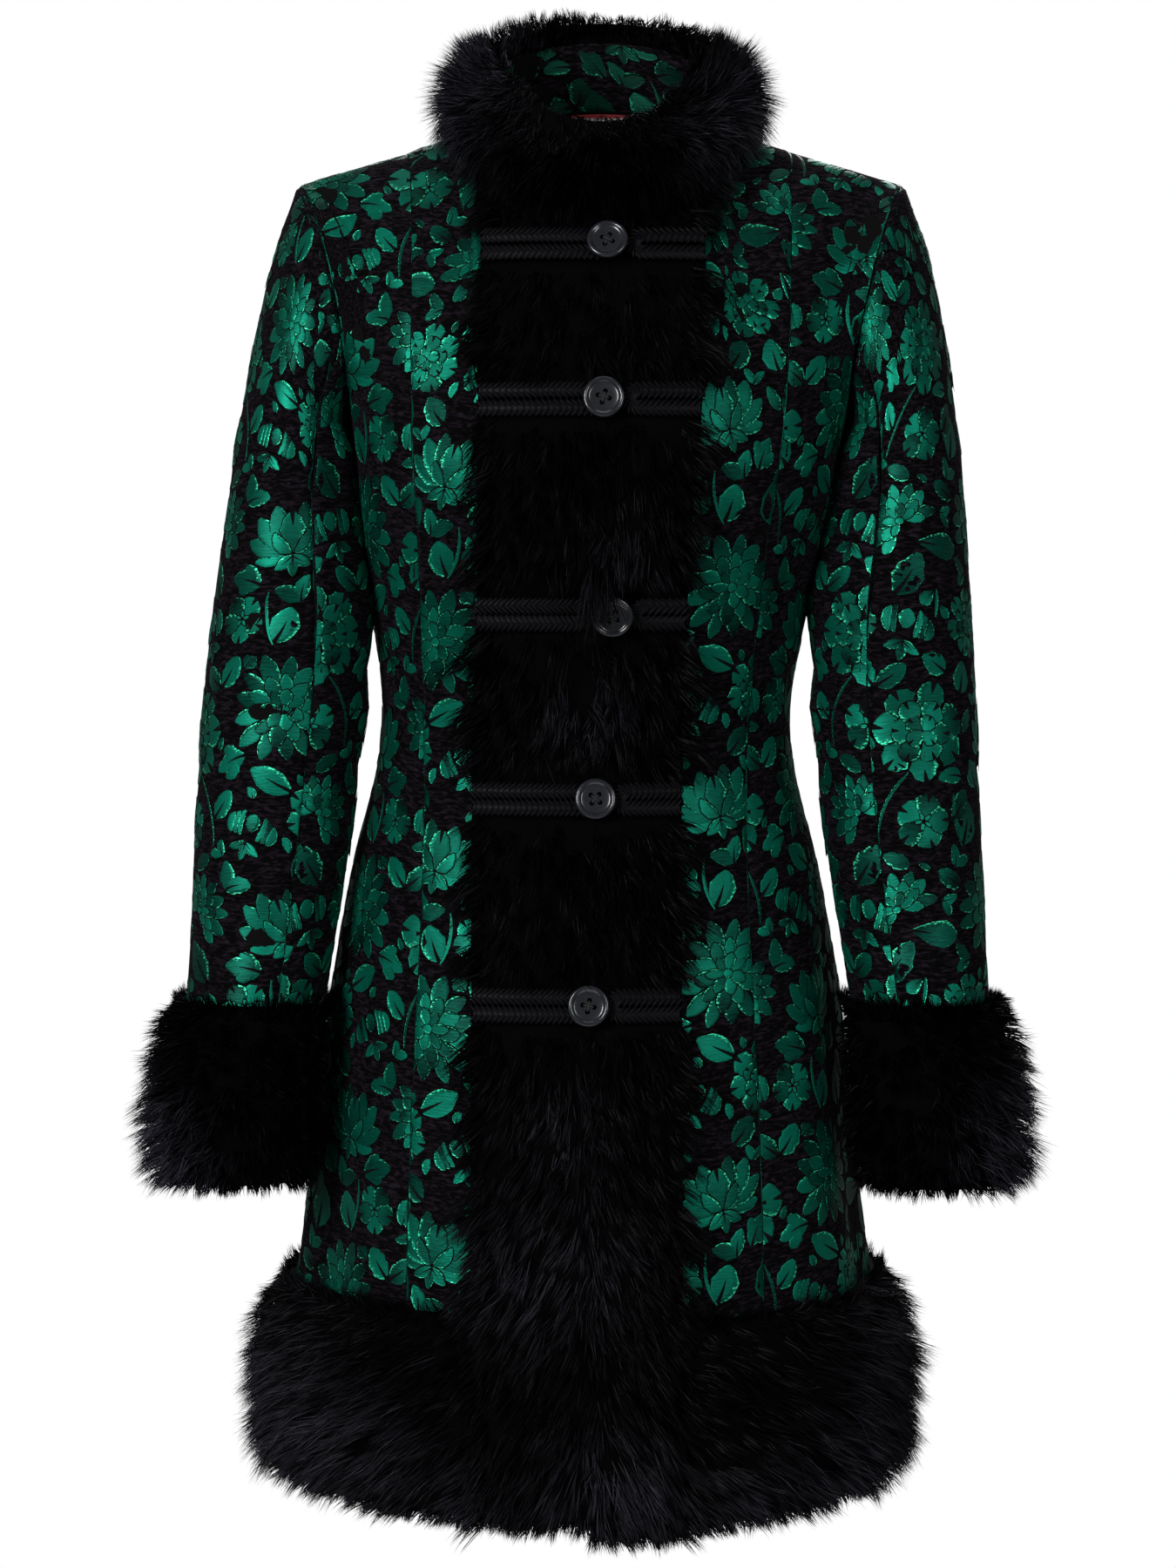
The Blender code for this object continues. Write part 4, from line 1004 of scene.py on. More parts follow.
def keptOn(panel, flat, lowY):
    # A place off the panel moves to its edge the shorter way, across or down.
    edge = repeat["edge"]
    kept = flat.copy()
    kept[..., 1] = np.clip(flat[..., 1], max(lowY, edge), panel["top"].max() - edge)
    across = np.clip(flat[..., 0], edge, onPanel(panel, kept)[..., 6] - edge)
    up = np.minimum(kept[..., 1], np.interp(flat[..., 0], panel["places"], panel["top"]) - edge)
    down = (kept[..., 1] - up < np.abs(kept[..., 0] - across)) & (up > lowY)
    kept[..., 0] = np.where(down, np.maximum(kept[..., 0], edge), across)
    kept[..., 1] = np.where(down, up, kept[..., 1])
    return kept


def slits(rows, lengths):
    # Tapered slits in slit leaves, from the base or from the tip.
    notch = rows[:, atNotch:atNotch + 1]
    along = np.where(notch < 0, 1 + notch * lengths[::-1][None, :], notch * lengths[None, :])
    taper = np.where(notch < 0, lengths[None, :], 1 - lengths[None, :]) ** repeat["slitTaper"]
    taper = (rows[:, atSlit:atSlit + 1] * rows[:, atWidth:atWidth + 1] / 2 * taper).clip(repeat["slitHalf"])
    steps = repeat["slitSteps"]
    fine = leafPlan(rows, np.linspace(0, 1, steps + 1), np.array([0.0, 1.0]))
    there = fine[np.arange(len(rows))[:, None], np.rint(along * steps).astype(int).clip(0, steps)]
    spine, out = there[:, :, 0], unit(there[:, :, 1] - there[:, :, 0]) * taper[..., None]
    flat = np.stack([spine - out, spine + out], 2)
    puff = rows[:, atPuff:atPuff + 1] * puffed(along)
    lift = repeat["slitLift"] + repeat["step"] * rows[:, atLevel:] + puff
    return flat, lift[..., None] + np.zeros(flat.shape[:3])


def puffed(along):
    return np.sin(math.pi * np.clip(along, *repeat["puffEnds"])) ** 0.5


def weaveFlowers(name, panel, shift, lowX, lowY, look):
    # Repeats over the whole panel, cut off at its edges as the cloth is.
    rows = repeatsOver(panel, shift, lowX, lowY)
    lengths = np.linspace(0, 1, repeat["stations"])
    # Each leaf has its two edges and a raised middle line.
    base = repeat["leafLift"] + repeat["step"] * rows[:, atLevel:]
    middle = base + rows[:, atPuff:atPuff + 1] * puffed(lengths)[None, :]
    lift = np.stack([base + 0 * middle, middle, base + 0 * middle], 2)
    shade = rows[:, atShade, None, None] * (2 * lengths[None, :, None] - 1)
    tone = rows[:, atTone, None, None] + shade + 0 * lift
    # Rim: full at one edge and less at the other, for the pillowed bump and the painted glints.
    rim = np.array(repeat["rims"])[None, None, :] + 0 * lift
    # Binding lines: an outline under each petal that lies over another, and the slits.
    bound = rows[rows[:, atLevel] > 0]
    lineFlat = leafPlan(bound, lengths, np.array([-1.0, 1.0]), repeat["binding"])
    lineLift = (repeat["lineLift"] + repeat["step"] * bound[:, atLevel])[:, None, None]
    lineLift = lineLift + np.zeros(lineFlat.shape[:3])
    slitFlat, slitLift = slits(rows[rows[:, atSlit] > 0], lengths)
    parts = [(leafPlan(rows, lengths, np.array([-1.0, 0.0, 1.0])), lift, tone, rim, 0.0),
             (lineFlat, lineLift, 0 * lineLift, 0 * lineLift, 1.0),
             (slitFlat, slitLift, 0 * slitLift, 0 * slitLift, 1.0)]
    points, places, faces, marks = [], [], [], []
    count = 0
    for flat, lift, tone, rim, binding in parts:
        kept = keptOn(panel, flat, lowY)
        inside = (np.abs(kept - flat).sum(-1) < repeat["still"]).mean((1, 2)) > repeat["insideShare"]
        kept, lift, tone, rim = kept[inside], lift[inside], tone[inside], rim[inside]
        there = onPanel(panel, kept)
        points.append((there[..., :3] + unit(there[..., 3:6]) * lift[..., None]).reshape(-1, 3))
        places.append(kept.reshape(-1, 2))
        marks.append(np.stack([tone, rim, binding + 0 * tone], -1).reshape(-1, 3))
        one = gridFaces(*kept.shape[1:3], False)[:, [0, 3, 2, 1]]
        firsts = count + np.arange(len(kept)) * kept.shape[1] * kept.shape[2]
        faces.append((firsts[:, None, None] + one[None]).reshape(-1, 4))
        count += tone.size
    points, places, faces = np.concatenate(points), np.concatenate(places), np.concatenate(faces)
    a, b, c, d = (places[faces[:, i]] for i in range(4))
    ac, bd = c - a, d - b
    longest = np.maximum(np.linalg.norm(ac, axis=-1), np.linalg.norm(bd, axis=-1))
    flatArea = np.abs(ac[:, 0] * bd[:, 1] - ac[:, 1] * bd[:, 0])
    # Places past the neck's edge share one point, so faces without area go too.
    a, b, c, d = (points[faces[:, i]] for i in range(4))
    area = np.linalg.norm(np.cross(c - a, d - b), axis=-1)
    faces = faces[(np.minimum(flatArea, area) > repeat["leastArea"]) & (longest < repeat["longest"])]
    return meshOf(name, points, faces, look, places, dict(zip(weaveMarks, np.concatenate(marks).T)))


brocade = dict(
    hemRows=8, bodyRows=46, yokeRows=27, sleeveRows=64, facingRows=12, facingCells=72, facingRise=-0.08,
    underHem=14.0, underBand=16.0, underCuff=84.0, leastShare=0.31, facingShare=0.95,
    # Places across each panel, and where the repeat starts on it
    centre=(16, {right: (9.0, 0.0), left: (9.0, 40.0)}),
    side=(19, {right: (20.0, 70.0), left: (20.0, 150.0)}),
    back=(25, {right: (6.0, 20.0), left: (6.0, 20.0)}),
    upper=(41, {right: (12.0, 120.0), left: (70.0, 120.0)}),
    under=(25, {right: (40.0, 60.0), left: (40.0, 60.0)}),
    facing=(30.0, 30.0),
)
nowhere = -1e9


def hangCloth(name, grid, flip, flat, panel, shift, lowX, lowY, satin, areaOf):
    piece = meshOf(name + "_cloth", grid, gridFaces(*grid.shape[:2], flip), "blackChenille", flat)
    piece.data.materials.append(looks["chenilleReverse"])
    wall = piece.modifiers.new("wall", "SOLIDIFY")
    wall.thickness = cloth["wall"] * mm
    wall.offset = -1.0
    wall.material_offset = 1
    woven = weaveFlowers(name + "_flowers", panel, shift, lowX, lowY, satin)
    attach(piece, name)
    attach(woven)
    wide, long = flat[:, -1, 0].max() * mm, flat[-1, :, 1].max() * mm
    area = areaOf(wide * long)
    print("cloth %-22s %.0f x %.0f mm, %.3f m2, %d triangles of flowers"
          % (name, wide / mm, long / mm, area, len(woven.data.polygons) * 2))


def addCloth(name, grid, flip, sway, shift, lowX, lowY, firstSeam=True):
    out = gridNormals(grid, flip)
    shaped = swayed(seamTurned(creased(name, grid, out), out, firstSeam), sway)
    netOf = levelPanel if "back" in name or "side" in name else evenPanel
    panel = netOf(shaped, gridNormals(shaped, flip))
    cells = np.cross(np.diff(grid, axis=0)[:, :-1], np.diff(grid, axis=1)[:-1])
    own = np.linalg.norm(cells, axis=-1).sum() * mm * mm
    hangCloth(name, shaped, flip, np.stack(flatPlaces(grid), -1), panel, shift, lowX, lowY, "emeraldSatin",
              lambda whole: min(max(own, brocade["leastShare"] * whole), whole))


def buildBrocade():
    chenilleMaterial("blackChenille", "#010101", "#261e28")
    chenilleMaterial("chenilleReverse", "#030203", "#121012")
    satinMaterial("emeraldSatin", "#011b17", "#05715b", "#3fd49f")
    # The facing lies in the neck's shade, where the photo shows little lustre: a darker copy of the satin,
    # with that shade painted into its colours.
    satinMaterial("paintedShadeEmeraldSatin", "#01120d", "#033a2c", "#1a7a58")
    low = np.concatenate([np.linspace(body["hemZ"], body["furTopZ"], brocade["hemRows"])[:-1],
                          np.linspace(body["furTopZ"], body["chestZ"], brocade["bodyRows"])])
    shares = np.linspace(0, 1, brocade["yokeRows"])[1:]
    underHem = body["furTopZ"] - body["hemZ"] - brocade["underHem"]
    rings = np.linspace(sleeve["lastRing"], 0, brocade["sleeveRows"])
    trim = math.degrees(cloth["seamGap"] / 2 / sleeve["meanRadius"])
    seam = sleeve["seamTurn"]
    sleeveParts = (("upper", -seam + trim, seam - trim), ("under", seam + trim, 360 - seam - trim))
    for side in (right, left):
        word = sideWords[side]
        for part in ("centre", "side", "back"):
            count, starts = brocade[part]
            x, y = starts[side]
            lowX = nowhere
            if part == "centre":
                lowX = (body["bandX"][side] - body["openingX"] * side) - brocade["underBand"]
                x += lowX
            grid = bodyGrid(part, side, low, shares, edgedPlaces(count, columnsOf(part, side)))
            name = f"back_{word}" if part == "back" else f"front_{word}_{part}"
            flip = (side == right) != (part == "back")
            addCloth(name, grid, flip, body["sway"], (x, y), lowX, underHem, part != "centre")
        for part, first, last in sleeveParts:
            count, starts = brocade[part]
            grid = tucked(sleeveGrid(side, rings, np.linspace(first, last, count)), side == left)
            addCloth(f"sleeve_{word}_{part}", grid, side == left, sleeve["sway"], starts[side], nowhere,
                     brocade["underCuff"])
    # The collar's stand shows its inner face, so its flowers lie there.
    outer = collarGrid(np.linspace(brocade["facingRise"], 1, brocade["facingRows"]), brocade["facingCells"],
                       cloth["seamGap"])
    out = gridNormals(outer, False)
    inner = outer - out * cloth["wall"]
    # The facing wears the darker copy of the satin, with the neck's painted shade.
    hangCloth("collar_facing", inner, True, np.stack(flatPlaces(outer), -1), evenPanel(inner, -out),
              brocade["facing"], nowhere, nowhere, "paintedShadeEmeraldSatin",
              lambda whole: whole * brocade["facingShare"])


# Black fur: long acrylic pile, near black and darker at the root, with a painted cool gleam along combed
# strands.
def furMaterial():
    tree, shader = newMaterial("blackFurPile")
    tip, tone = (addNode(tree, "Attribute", {"attribute_name": mark}, "Fac") for mark in ("tip", "tone"))
    share = addNode(tree, "Math", {"operation": "MULTIPLY", 0: tip, 1: tone})
    # The pale colour is the painted gleam, with the clumps' own random tone, shown towards the tips.
    colour = addNode(tree, "Mix", {"data_type": "RGBA", 0: share, 6: "#010101", 7: "#3e3e48"}, 2)
    setNode(tree, shader, {"Roughness": 0.40, "Specular IOR Level": 0.03, "Base Color": colour})


# Fur backing: a dense dark underfur that only shows between strands.
def underfurMaterial():
    down = dict(tuftPitch=2.381)
    tree, shader = newMaterial("denseUnderfur")
    place = addNode(tree, "TexCoord", {}, "Object")
    grain = addNode(tree, "TexNoise", {"Scale": 1 / (down["tuftPitch"] * mm), "Detail": 2.0, "Vector": place})
    setNode(tree, shader, {
        "Roughness": 0.95, "Specular IOR Level": 0.03,
        "Base Color": addNode(tree, "Mix", {"data_type": "RGBA", 0: grain, 6: "#010101", 7: "#040405"}, 2),
        "Normal": addNode(tree, "Bump", {"Strength": 0.6, "Distance": 0.002, "Height": grain}),
    })


fur = dict(
    clump=15, clumpRadius=4.2, clumpLengths=(0.80, 1.16),
    strandLengths=(0.66, 1.06), ownDepth=(0.3, 1.2),
    pull=0.55, pulls=(0.4, 1.0),    # how far the tips of a clump draw together
    wild=0.20, stray=0.13,          # how far a clump leaves the comb, and a strand its clump
    follow=0.8, twist=0.55,
    rootShare=0.22, peltShare=0.42,    # where in the pile strands start and underfur ends
    peltGap=0.1, peltLumps=0.10, lumpTurns=(0.9, 0.6),
    sag=0.10, rise=0.34, bow=0.30, bend=0.56,
    width=0.66, widths=(0.7, 1.25), taper=(1.0, 0.75),    # thicker than hair so that strands show
    # Where along a strand the lighter colour shows, a random tone of clumps, and the strength of the painted
    # gleam
    tipTones=(0.0, 0.0, 0.7, 0.7, 1.0), clumpTone=0.25, paintedGleamTone=1.2,
)


# Painted highlights, broad patches where the brushed fur's colour is lightened: x, z, radius, strength
paintedGleams = np.array([
    (-91, 8, 30, 1.2), (94, 14, 28, 1.2), (60, -8, 22, 0.7), (-60, 44, 24, 0.7),
    (-275, -624, 38, 2.0), (-250, -660, 30, 1.0), (267, -613, 35, 1.4), (255, -655, 28, 0.9),
    (-181, -773, 42, 0.8), (-192, -830, 36, 0.8), (-121, -810, 36, 0.6), (-71, -845, 30, 0.6),
    (16, -820, 32, 0.9), (93, -845, 30, 0.6), (160, -812, 40, 0.7), (176, -745, 28, 0.5),
    (-22, -685, 40, 0.7), (-16, -602, 24, 0.5), (0, -355, 24, 0.5), (16, -261, 20, 0.4),
])
hiddenPaintedGleam = dict(fromY=45, strength=0.7, across=0.043, up=0.038, start=0.8, wander=1.7, wanderUp=0.021)


def paintedGleamAt(root):
    # Painted highlight patches; the hidden back has even ones.
    x, y, z = root.T
    apart = np.hypot(x[:, None] - paintedGleams[:, 0], z[:, None] - paintedGleams[:, 1]) / paintedGleams[:, 2]
    ahead = np.clip((paintedGleams[:, 3] * np.exp(-apart ** 2)).sum(1), 0, 2)
    wander = hiddenPaintedGleam["wander"] * np.sin(z * hiddenPaintedGleam["wanderUp"])
    waves = np.sin(x * hiddenPaintedGleam["across"] + wander) * np.sin(z * hiddenPaintedGleam["up"] + hiddenPaintedGleam["start"])
    return np.where(y < hiddenPaintedGleam["fromY"], ahead, hiddenPaintedGleam["strength"] * np.clip(waves, 0, 1))


def brushed(grid, across, up):
    # The way the fur is combed at each point: across is along X and up along Z.
    comb = np.zeros(grid.shape)
    comb[..., 0], comb[..., 2] = across, up
    return comb


def laid(grid, flip, closed=False):
    return grid + gridNormals(grid, flip, closed) * cloth["laidGap"]


def growFur(name, grid, flip, pile, comb, stand, count, closed=False, sway=body["sway"], keep=None,
            lengthen=1.12, pelt=None):
    # Strands root in the underfur, lean along the comb and draw together into pointed clumps.
    out = gridNormals(grid, flip, closed)
    rows, columns = grid.shape[:2]
    pile, stand = (np.broadcast_to(v, (rows, columns)) for v in (pile, stand))
    following = np.roll(grid, -1, 1) if closed else grid[:, 1:]
    acrossStep = np.linalg.norm(following - grid[:, :following.shape[1]], axis=-1)
    upStep = np.linalg.norm(np.diff(grid, axis=0), axis=-1)
    cellArea = acrossStep[:-1] * upStep[:, :acrossStep.shape[1]]
    strands = fur["clump"]
    clumps = count // strands
    pick = dice.choice(cellArea.size, clumps, p=(cellArea / cellArea.sum()).ravel())
    cell = np.unravel_index(pick, cellArea.shape)
    clumpRow = cell[0] + dice.random(clumps)
    clumpColumn = cell[1] + dice.random(clumps)
    spread = fur["clumpRadius"] / 2
    row = clumpRow[:, None] + dice.normal(0, spread, (clumps, strands)) / upStep[cell][:, None]
    column = clumpColumn[:, None] + dice.normal(0, spread, (clumps, strands)) / acrossStep[cell][:, None]
    row = np.clip(row, 0, rows - 1).ravel()
    column = column.ravel() if closed else np.clip(column, 0, columns - 1).ravel()
    owner = np.repeat(np.arange(clumps), strands)

    def rooted(*place):
        fields = (grid, out, pile, comb, stand)
        base, normal, depth, lean, rise = (sampleGrid(v, *place, closed) for v in fields)
        normal = unit(normal)
        start = base + normal * (depth * fur["rootShare"])[:, None]
        return start, normal, depth, normal * rise[:, None] + lean
    root, normal, depth, heading = rooted(row, column)
    clumpRoot, _, clumpDepth, clumpHeading = rooted(clumpRow, clumpColumn)
    wild = dice.normal(0, fur["wild"], (clumps, 3))
    clumpLength = clumpDepth * lengthen * dice.uniform(*fur["clumpLengths"], clumps)
    clumpTip = clumpRoot + unit(clumpHeading + wild) * clumpLength[:, None]
    stray = dice.normal(0, fur["stray"], (len(row), 3))
    direction = unit(heading + wild[owner] * fur["follow"] + stray)
    length = clumpLength[owner] * dice.uniform(*fur["strandLengths"], len(row))
    length *= np.clip(depth / np.maximum(clumpDepth[owner], 1e-6), *fur["ownDepth"])
    pull = fur["pull"] * dice.uniform(*fur["pulls"], len(row))[:, None]
    tip = (root + direction * length[:, None]) * (1 - pull) + clumpTip[owner] * pull
    tip[:, 2] -= length * fur["sag"]
    middle = root + normal * (length * fur["rise"])[:, None] + (tip - root) * fur["bow"]
    if keep is not None:
        kept = keep(root, tip)
        root, middle, tip, normal, owner = (v[kept] for v in (root, middle, tip, normal, owner))
    # Each strand is a flat ribbon of four points with a pointed end.
    t = np.array([0.0, fur["bend"], 1.0])[None, :, None]
    path = root[:, None] * (1 - t) ** 2 + middle[:, None] * 2 * t * (1 - t) + tip[:, None] * t * t
    along = unit(np.gradient(path, axis=1))
    facing = unit(normal + dice.normal(0, fur["twist"], normal.shape))[:, None]
    across = unit(np.cross(along, facing))[:, :2]
    half = fur["width"] / 2 * dice.uniform(*fur["widths"], len(root))[:, None, None]
    half = half * np.array(fur["taper"])[None, :, None]
    edges = np.stack([path[:, :2] - across * half, path[:, :2] + across * half], 2)
    points = np.concatenate([edges.reshape(len(root), 4, 3), path[:, 2:]], 1)
    one = np.array([(0, 1, 3), (0, 3, 2), (2, 3, 4)])
    faces = (np.arange(len(root))[:, None, None] * 5 + one[None]).reshape(-1, 3)
    # Tones: a random one for each clump, plus the painted gleam patches.
    tones = fur["clumpTone"] * dice.uniform(0.0, 1.0, clumps)[owner] ** 4 + fur["paintedGleamTone"] * paintedGleamAt(root)
    tones = tones * dice.uniform(0.0, 1.0, len(root)) ** 2
    marks = {"tip": np.tile(fur["tipTones"], len(root)), "tone": np.repeat(tones, 5)}
    attach(meshOf(name + "_pile", swayed(points, sway), faces, "blackFurPile", None, marks))
    print("fur %-16s %6d strands, %d triangles" % (name, len(root), len(faces)))
    if pelt is not None:
        addPelt(name, grid[pelt], out[pelt], flip, closed, pile[pelt], sway)


def addPelt(name, grid, out, flip, closed, pile, sway):
    # The closed slab of underfur that the strands stand in
    rows, columns = grid.shape[:2]
    turnUp, turnAcross = fur["lumpTurns"]
    waves = np.sin(np.arange(rows)[:, None] * turnUp + np.arange(columns)[None] * turnAcross)
    outer = grid + out * (pile * fur["peltShare"] * (1 + fur["peltLumps"] * waves))[..., None]
    shell = np.concatenate([(grid + out * fur["peltGap"]).reshape(-1, 3), outer.reshape(-1, 3)])
    size = rows * columns
    walls = [gridFaces(rows, columns, not flip, closed), gridFaces(rows, columns, flip, closed, size)]
    edges = [(np.arange(columns), True), ((rows - 1) * columns + np.arange(columns), False)]
    if closed:
        edges = [(np.append(ring, ring[0]), turned) for ring, turned in edges]
    else:
        edges += [(np.arange(rows) * columns, False), (np.arange(rows) * columns + columns - 1, True)]
    for ring, turned in edges:
        a, b = ring[:-1], ring[1:]
        quads = np.stack([a, b, b + size, a + size], -1)
        walls.append(quads if turned == flip else quads[:, ::-1])
    piece = meshOf(name + "_pelt", swayed(shell, sway), np.concatenate(walls), "denseUnderfur")
    attach(piece, name)


collarFur = dict(
    pile=31.0, strands=27000, rows=20, cells=84, seam=0.8,
    rise=[0.04, 0.45, 0.80, 1.00, 1.38], share=[0.80, 1.00, 0.98, 0.85, 0.40],
    comb=([0, 0.35, 0.8, 1.38], [-0.95, -0.55, 0.25, 1.1]), stand=([0, 0.8, 1.38], [0.75, 0.9, 0.55]),
    # For each brushed patch: the rise it starts at, how far it falls, how much shorter it is, and at the edge
    brushed=[(0.5, 1.5, 0.18, 0.5), (0.5, 0.9, 0.35, 0.4), (0.8, 0.9, 0.32, 0.55)],
    ahead=(-30, 40), loopSide=(25, 10, 40), behind=(16, 42, 10, 30),    # where each patch lies and fades
    edgePile=10.0, edgeStrands=5000, edgeRows=8, edgeFrom=0.97, edgeStand=0.45, edgeUp=1.3, edgeFall=0.9,
)


def brushedPatches(grid):
    # At the front the fur falls outward, so that the inside of the neck shows over it. It is flatter still on
    # the loop side, where the opening looks square, and the middle of the back lies lower than its ends.
    x, y = grid[..., 0], grid[..., 1]
    frontY, frontFade = collarFur["ahead"]
    loopFade, loopY, loopDeep = collarFur["loopSide"]
    middleX, half, backY, backFade = collarFur["behind"]
    return (ease((frontY - y) / frontFade), ease(-x / loopFade) * ease((loopY - y) / loopDeep),
            np.exp(-((x - middleX) / half) ** 2) * ease((y - backY) / backFade))


def buildCollarFur():
    top = collarFur["rise"][-1]
    rises = np.linspace(collarFur["rise"][0], top, collarFur["rows"])
    grid = laid(collarGrid(rises, collarFur["cells"], collarFur["seam"]), False)
    pile = (np.interp(rises, collarFur["rise"], collarFur["share"]) * collarFur["pile"])[:, None]
    comb = brushed(grid, 0.0, np.interp(rises, *collarFur["comb"])[:, None])
    for patch, (start, fall, shorter, _) in zip(brushedPatches(grid), collarFur["brushed"]):
        share = np.interp(rises, [start, top], [0.0, 1.0])[:, None]
        comb[..., 2] -= patch * share * fall
        pile = pile * (1 - shorter * patch * share)
    growFur("collar_fur", grid, False, pile, comb, np.interp(rises, *collarFur["stand"])[:, None],
            collarFur["strands"], pelt=slice(None, -1))
    # Shorter fur turns over the top edge and hides the pelt's inner side above the brocade.
    rises = np.linspace(collarFur["edgeFrom"], top, collarFur["edgeRows"])
    grid = collarGrid(rises, collarFur["cells"], collarFur["seam"])
    patches = brushedPatches(grid)
    pile = collarFur["edgePile"]
    for patch, (_, _, _, shorter) in zip(patches, collarFur["brushed"]):
        pile = pile * (1 - shorter * patch)
    comb = brushed(grid, 0.0, collarFur["edgeUp"] - collarFur["edgeFall"] * patches[0])
    growFur("collar_fur_edge", grid, True, pile, comb, collarFur["edgeStand"], collarFur["edgeStrands"])


bandFur = dict(
    pile=26.0, strands=19000, overhang=10.0, lowRows=114, highRows=40, columns=13, trackSteps=200, seam=0.8,
    yokeReach=0.68, upperShare=0.78, topShare=0.42, fullFade=(50, 60), across=[0.85, 1.0, 0.95, 0.50],
    lowestRows=4, lowShare=0.55,
    groove=7.0, grooveShare=0.9, grooveHalf=12.5, underBraid=10.5, overBraid=7.0, overReach=30,
    stand=0.62, down=-0.85, places=[0, 0.4, 1, 2, 3], outward=[-0.55, 0.0, 0.12, 0.30, 0.62],
    parted=[0.10, 0.55, 0.40, 0.15, 0.0], partedFade=(-560, 120),
    lowPile=11.0, lowStrands=1600, lowStand=0.3, lowLean=0.6,
    edgePile=19.0, edgeWaves=[(7.0, 0.13), (5.0, 0.31)], edgeStrands=5400, edgeStand=0.6,
    edgeLean=(0.9, -0.7), edgeColumns=3,
)


def clearOfFrogs(root, tip):
    # The braids lie on flattened fur: no strand starts under one or hangs far over one.
    clear = np.ones(len(root), bool)
    for z, *_ in frogs:
        under = np.abs(root[:, 2] - z) < bandFur["underBraid"]
        over = (tip[:, 2] < z + bandFur["overBraid"]) & (tip[:, 2] > z - bandFur["overReach"])
        clear &= ~(under | (root[:, 2] > z) & over)
    return clear


def bandGrid(side):
    # From below the hem to the chest, and on to the collar along the panel's own curves
    places = np.linspace(0, body["bandColumn"], bandFur["columns"])
    heights = np.linspace(body["hemZ"] - bandFur["overhang"], body["chestZ"], bandFur["lowRows"])
    low = ringPoint(front, side, bodyAngles("centre", side, heights, places), heights[:, None])
    curve = chestCurve(front, bodyAngles("centre", side, np.array(body["chestZ"]), places))
    curve = tuple(c[None] for c in curve)
    fine = np.linspace(0, 1, bandFur["trackSteps"])
    track = curvePoint(curve, fine[:, None, None])
    yoke = np.array([np.interp(body["yokeZ"], track[:, j, 2], fine) for j in range(len(places))])
    shares = np.linspace(0, 1, bandFur["highRows"])[1:, None] * blend(yoke, 1, bandFur["yokeReach"])[None]
    high = curvePoint(curve, shares[..., None]) * np.array([side, 1, 1])
    grid = laid(np.concatenate([low, high]), side == right)
    grid[:, 0, 0] -= side * bandFur["seam"]
    return places, grid


def buildFrontFur(side):
    flip = side == right
    name = f"front_fur_{sideWords[side]}"
    places, grid = bandGrid(side)
    z = grid[..., 2]
    above, over = bandFur["fullFade"]
    share = blend(bandFur["upperShare"], 1.0, ease((body["furTopZ"] + above - z) / over))
    share = np.where(z > body["yokeZ"], bandFur["topShare"], share)
    share = share * np.interp(places, range(body["bandColumn"] + 1), bandFur["across"])
    share *= np.interp(np.arange(len(share)), [0, bandFur["lowestRows"]], [bandFur["lowShare"], 1.0])[:, None]
    for frogZ, *_ in frogs:
        near = np.exp(-((z - frogZ) / bandFur["grooveHalf"]) ** 6)
        share = blend(share, bandFur["groove"] / bandFur["pile"] * bandFur["grooveShare"], near)
    # Combed down and, at the outer half, out over the brocade's edge; parted from the opening low down.
    start, over = bandFur["partedFade"]
    outward, parted = (np.interp(places, bandFur["places"], bandFur[key]) for key in ("outward", "parted"))
    comb = brushed(grid, side * (outward + ease((start - z) / over) * parted), bandFur["down"])
    growFur(name, grid, flip, share * bandFur["pile"], comb, bandFur["stand"], bandFur["strands"],
            keep=clearOfFrogs, pelt=slice(None))
    count = bandFur["lowestRows"]
    low = grid[:count]
    lowComb = brushed(low, comb[:count, :, 0] * bandFur["lowLean"], -1.0)
    growFur(name + "_low", low, flip, bandFur["lowPile"], lowComb, bandFur["lowStand"], bandFur["lowStrands"])
    # Longer strands along the outer edge break its line over the brocade.
    outer = grid[:, -bandFur["edgeColumns"]:]
    z = outer[..., 2]
    (high, wave), (more, ripple) = bandFur["edgeWaves"]
    uneven = bandFur["edgePile"] + high * np.sin(z * wave + side) + more * np.sin(z * ripple)
    across, up = bandFur["edgeLean"]
    growFur(name + "_edge", outer, flip, uneven, brushed(outer, side * across, up),
            bandFur["stand"] * bandFur["edgeStand"], bandFur["edgeStrands"], keep=clearOfFrogs)


lock = dict(
    x=(-3.0, 9.0), z=(-278.0, -262.0), cells=6, pile=27.0, stand=0.6, lean=(0.05, -0.95), strands=700,
    lengthen=1.35,
)


def buildLock():
    # One lock falls over the half of the third button nearer the loop.
    x, z = np.meshgrid(*(np.linspace(*lock[key], lock["cells"]) for key in ("x", "z")))
    grid = frontSurface(x, z).reshape(*x.shape, 3)
    growFur("front_fur_lock", grid, False, lock["pile"], brushed(grid, *lock["lean"]), lock["stand"],
            lock["strands"], lengthen=lock["lengthen"])


hemFur = dict(
    pile=29.0, strands=40000, rows=22, columns=(8, 25, 34), stand=0.80, middleX=-10,
    z=[-842, -832, -780, -745, -722], share=[0.50, 0.82, 1.00, 0.96, 0.46],
    ends=([0, 4, 9], [0.62, 0.9, 1.0]),
    sideways=([0, 40, 150, 190], [0.15, 0.75, 0.7, 0.1]), down=([-848, -780, -722], [0.75, 0.42, 0.30]),
    # Edge fur: its rows, way up or down, lean sideways, pile, stand and strands
    low=(slice(None, 5), -1.0, 0.45, 10.0, 0.35, 9000), top=(slice(-4, None), 1.0, 0.4, 13.0, 0.5, 6000),
)


